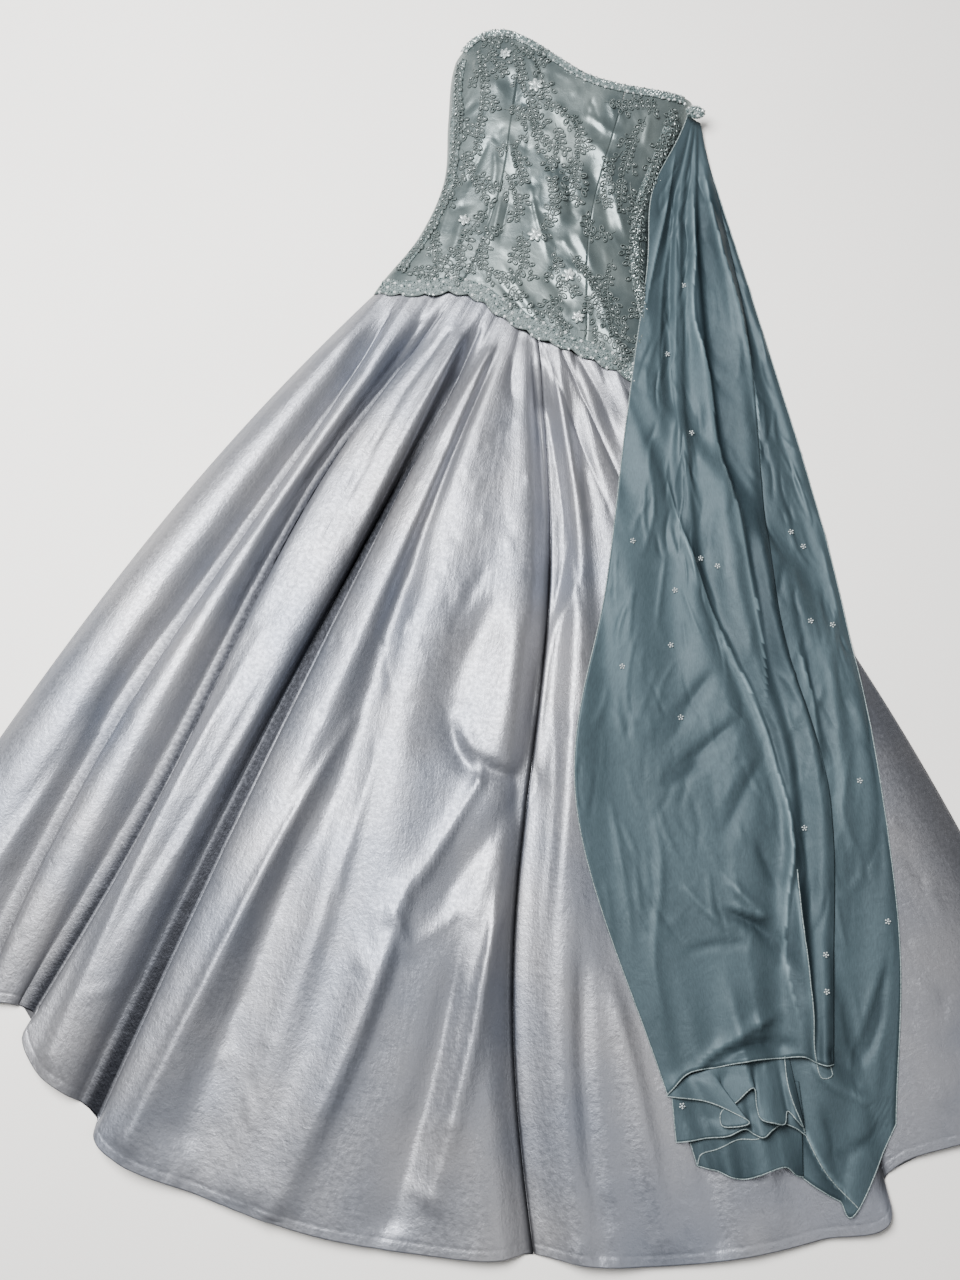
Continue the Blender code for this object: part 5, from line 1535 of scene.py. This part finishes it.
def sash_tail(row, ground):
    """A turned-up end of the sash: a tier between its top line and its folded, rolled hem."""
    name, base_tone, top, hem = row
    fall = np.linspace(0.0, 1.0, TAIL_ROWS)[:, None]
    top_line, hem_line = smooth_path(top, TAIL_COLUMNS), smooth_path(hem, TAIL_COLUMNS)
    place = top_line + (hem_line[:, :2] - top_line) * fall[..., None]
    lift = hem_line[:, 2] * fall ** 0.6
    grid = np.concatenate([place, (lift + ground_height(ground, place) + LAY_CLEAR)[..., None]], axis=-1)
    # Painted light and shade: the tier is painted lighter where its hem is lifted and darker where it lies
    # low.
    piece = shell(name, grid, SASH_WALL, organza.material, name,
                  base_tone + 0.035 * (lift - 0.5 * hem_line[:, 2].max() * fall))
    cloth_sheets.append((piece, grid, []))
    return piece, grid


organza = Finish("silk organza, teal", 0.5, 0.35)
organza.shader.inputs["Specular IOR Level"].default_value = 0.2
organza_patch = organza.noise("Object", (9.0, 9.0, 9.0), detail=4.0)
# Painted light and shade: the tone attribute sets the organza's colour level together with painted shadows
# beside fold edges, painted highlights on their lips, and painted shade and light in creases.
organza_colour_and_painted_shade = organza.ramp(organza.attribute("tone_and_painted_shade"), (0.014, 0.026, 0.033), (0.142, 0.202, 0.228), 0.0, 1.7)
organza_weave = organza.noise("UV", (900.0, 120.0, 1.0), detail=3.0)
organza_cloth = organza.ramp(organza_weave, (0.82, 0.82, 0.82), (1.0, 1.0, 1.0))
organza_mottle = organza.ramp(organza_patch, (0.84, 0.84, 0.84), (1.0, 1.0, 1.0))
organza_colour_and_painted_shade = organza.blend(organza_colour_and_painted_shade, organza_mottle, "MULTIPLY")
organza.feed("Base Color", organza.blend(organza_colour_and_painted_shade, organza_cloth, "MULTIPLY"))
organza.feed("Roughness", organza.ramp(organza_patch, 0.50, 0.62))
organza.bump(organza.noise("Object", (45.0, 45.0, 45.0), detail=4.0, distortion=0.6), 1.2, 0.6)
organza.bump(organza_weave, 0.05, 0.6)
overlock = Finish("rolled hem of the sash, pale teal", 0.55, 0.1)
overlock_thread = overlock.speckle(700.0, (0.07, 0.10, 0.105), (0.26, 0.31, 0.31), detail=2.0)
overlock.bump(overlock_thread, 0.25, 0.8)

laid = bodice + gores + [neck_tape, basque_tape]
sash_lower, lower_grid = sash_fall("sash_lower", SASH_LOWER, LOWER_TONE, ground_under(laid), 0.0, 0.0, 31)
laid.append(sash_lower)
hems = [lower_grid[:, -1], lower_grid[-1]]
for row in SASH_TAIL:
    tier, tier_grid = sash_tail(row, ground_under(laid))
    laid.append(tier)
    hems += [tier_grid[-1], tier_grid[:, 0]]
sash_upper, upper_grid = sash_fall("sash_upper", SASH_UPPER, UPPER_TONE, ground_under(laid),
                                   SASH_GATHER_LIFT, SASH_SPREAD, 32)
hems += [upper_grid[:, 0], upper_grid[-1]]
sash_tree = search_tree([sash_upper] + laid)
hems += [on_cloth(sash_tree, smooth_path(places, 60))[0] for places in LAID_HEMS]
hem_paths = [hem + (0.0, 0.0, SASH_WALL) for hem in hems]
place_piece("sash_hems", tube_mesh(hem_paths, HEM_RADIUS, overlock.material), "sash_teal")

sash_bead_points, sash_bead_sizes = [], []
for k, place in enumerate(SASH_FLOWERS):
    under, normal = on_cloth(sash_tree, [place])
    middle = under + normal * SASH_BEAD_LIFT
    sash_bead_points += [middle, middle + ring_of(SASH_FLOWER_BEADS, k) * SASH_BEAD_RING]
    sash_bead_sizes += [SASH_BEAD_SIZES[:1], np.full(SASH_FLOWER_BEADS, SASH_BEAD_SIZES[1])]
sash_bead_mesh = upright_beads(crystal.material, np.vstack(sash_bead_points), np.concatenate(sash_bead_sizes))
place_piece("sash_beads", sash_bead_mesh, "bead_silver")

# The knot at the corner of the neckline: a small padded boss of net that holds the gathered end of the
# sash, covered with glass beads and a few larger crystals, and sewn through to the band below it.
KNOT_PLACE = (142.0, 698.0)
KNOT_HALF = (13.0, 9.0, 6.0)
knot_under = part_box("sash_knot")[0][2]
knot_shape = bmesh.new()
bmesh.ops.create_icosphere(knot_shape, subdivisions=3, radius=1.0)
bmesh.ops.scale(knot_shape, verts=knot_shape.verts, vec=Vector(KNOT_HALF) * MM)
knot_middle = Vector((*KNOT_PLACE, KNOT_HALF[2])) * MM + Vector((0.0, 0.0, knot_under))
bmesh.ops.translate(knot_shape, verts=knot_shape.verts, vec=knot_middle)
knot_mesh = bpy.data.meshes.new("sash_knot")
knot_shape.to_mesh(knot_mesh)
knot_shape.free()
knot_mesh.materials.append(net.material)
knot = place_piece("sash_knot_core", knot_mesh, "bead_silver", "sash_knot")
strewn("sash_knot_beads", knot, "sash_knot", glass.material, 2.8, 2.2, 4.2, 9)
strewn("sash_knot_crystals", knot, "sash_knot", crystal.material, 6.0, 3.4, 5.0, 19)
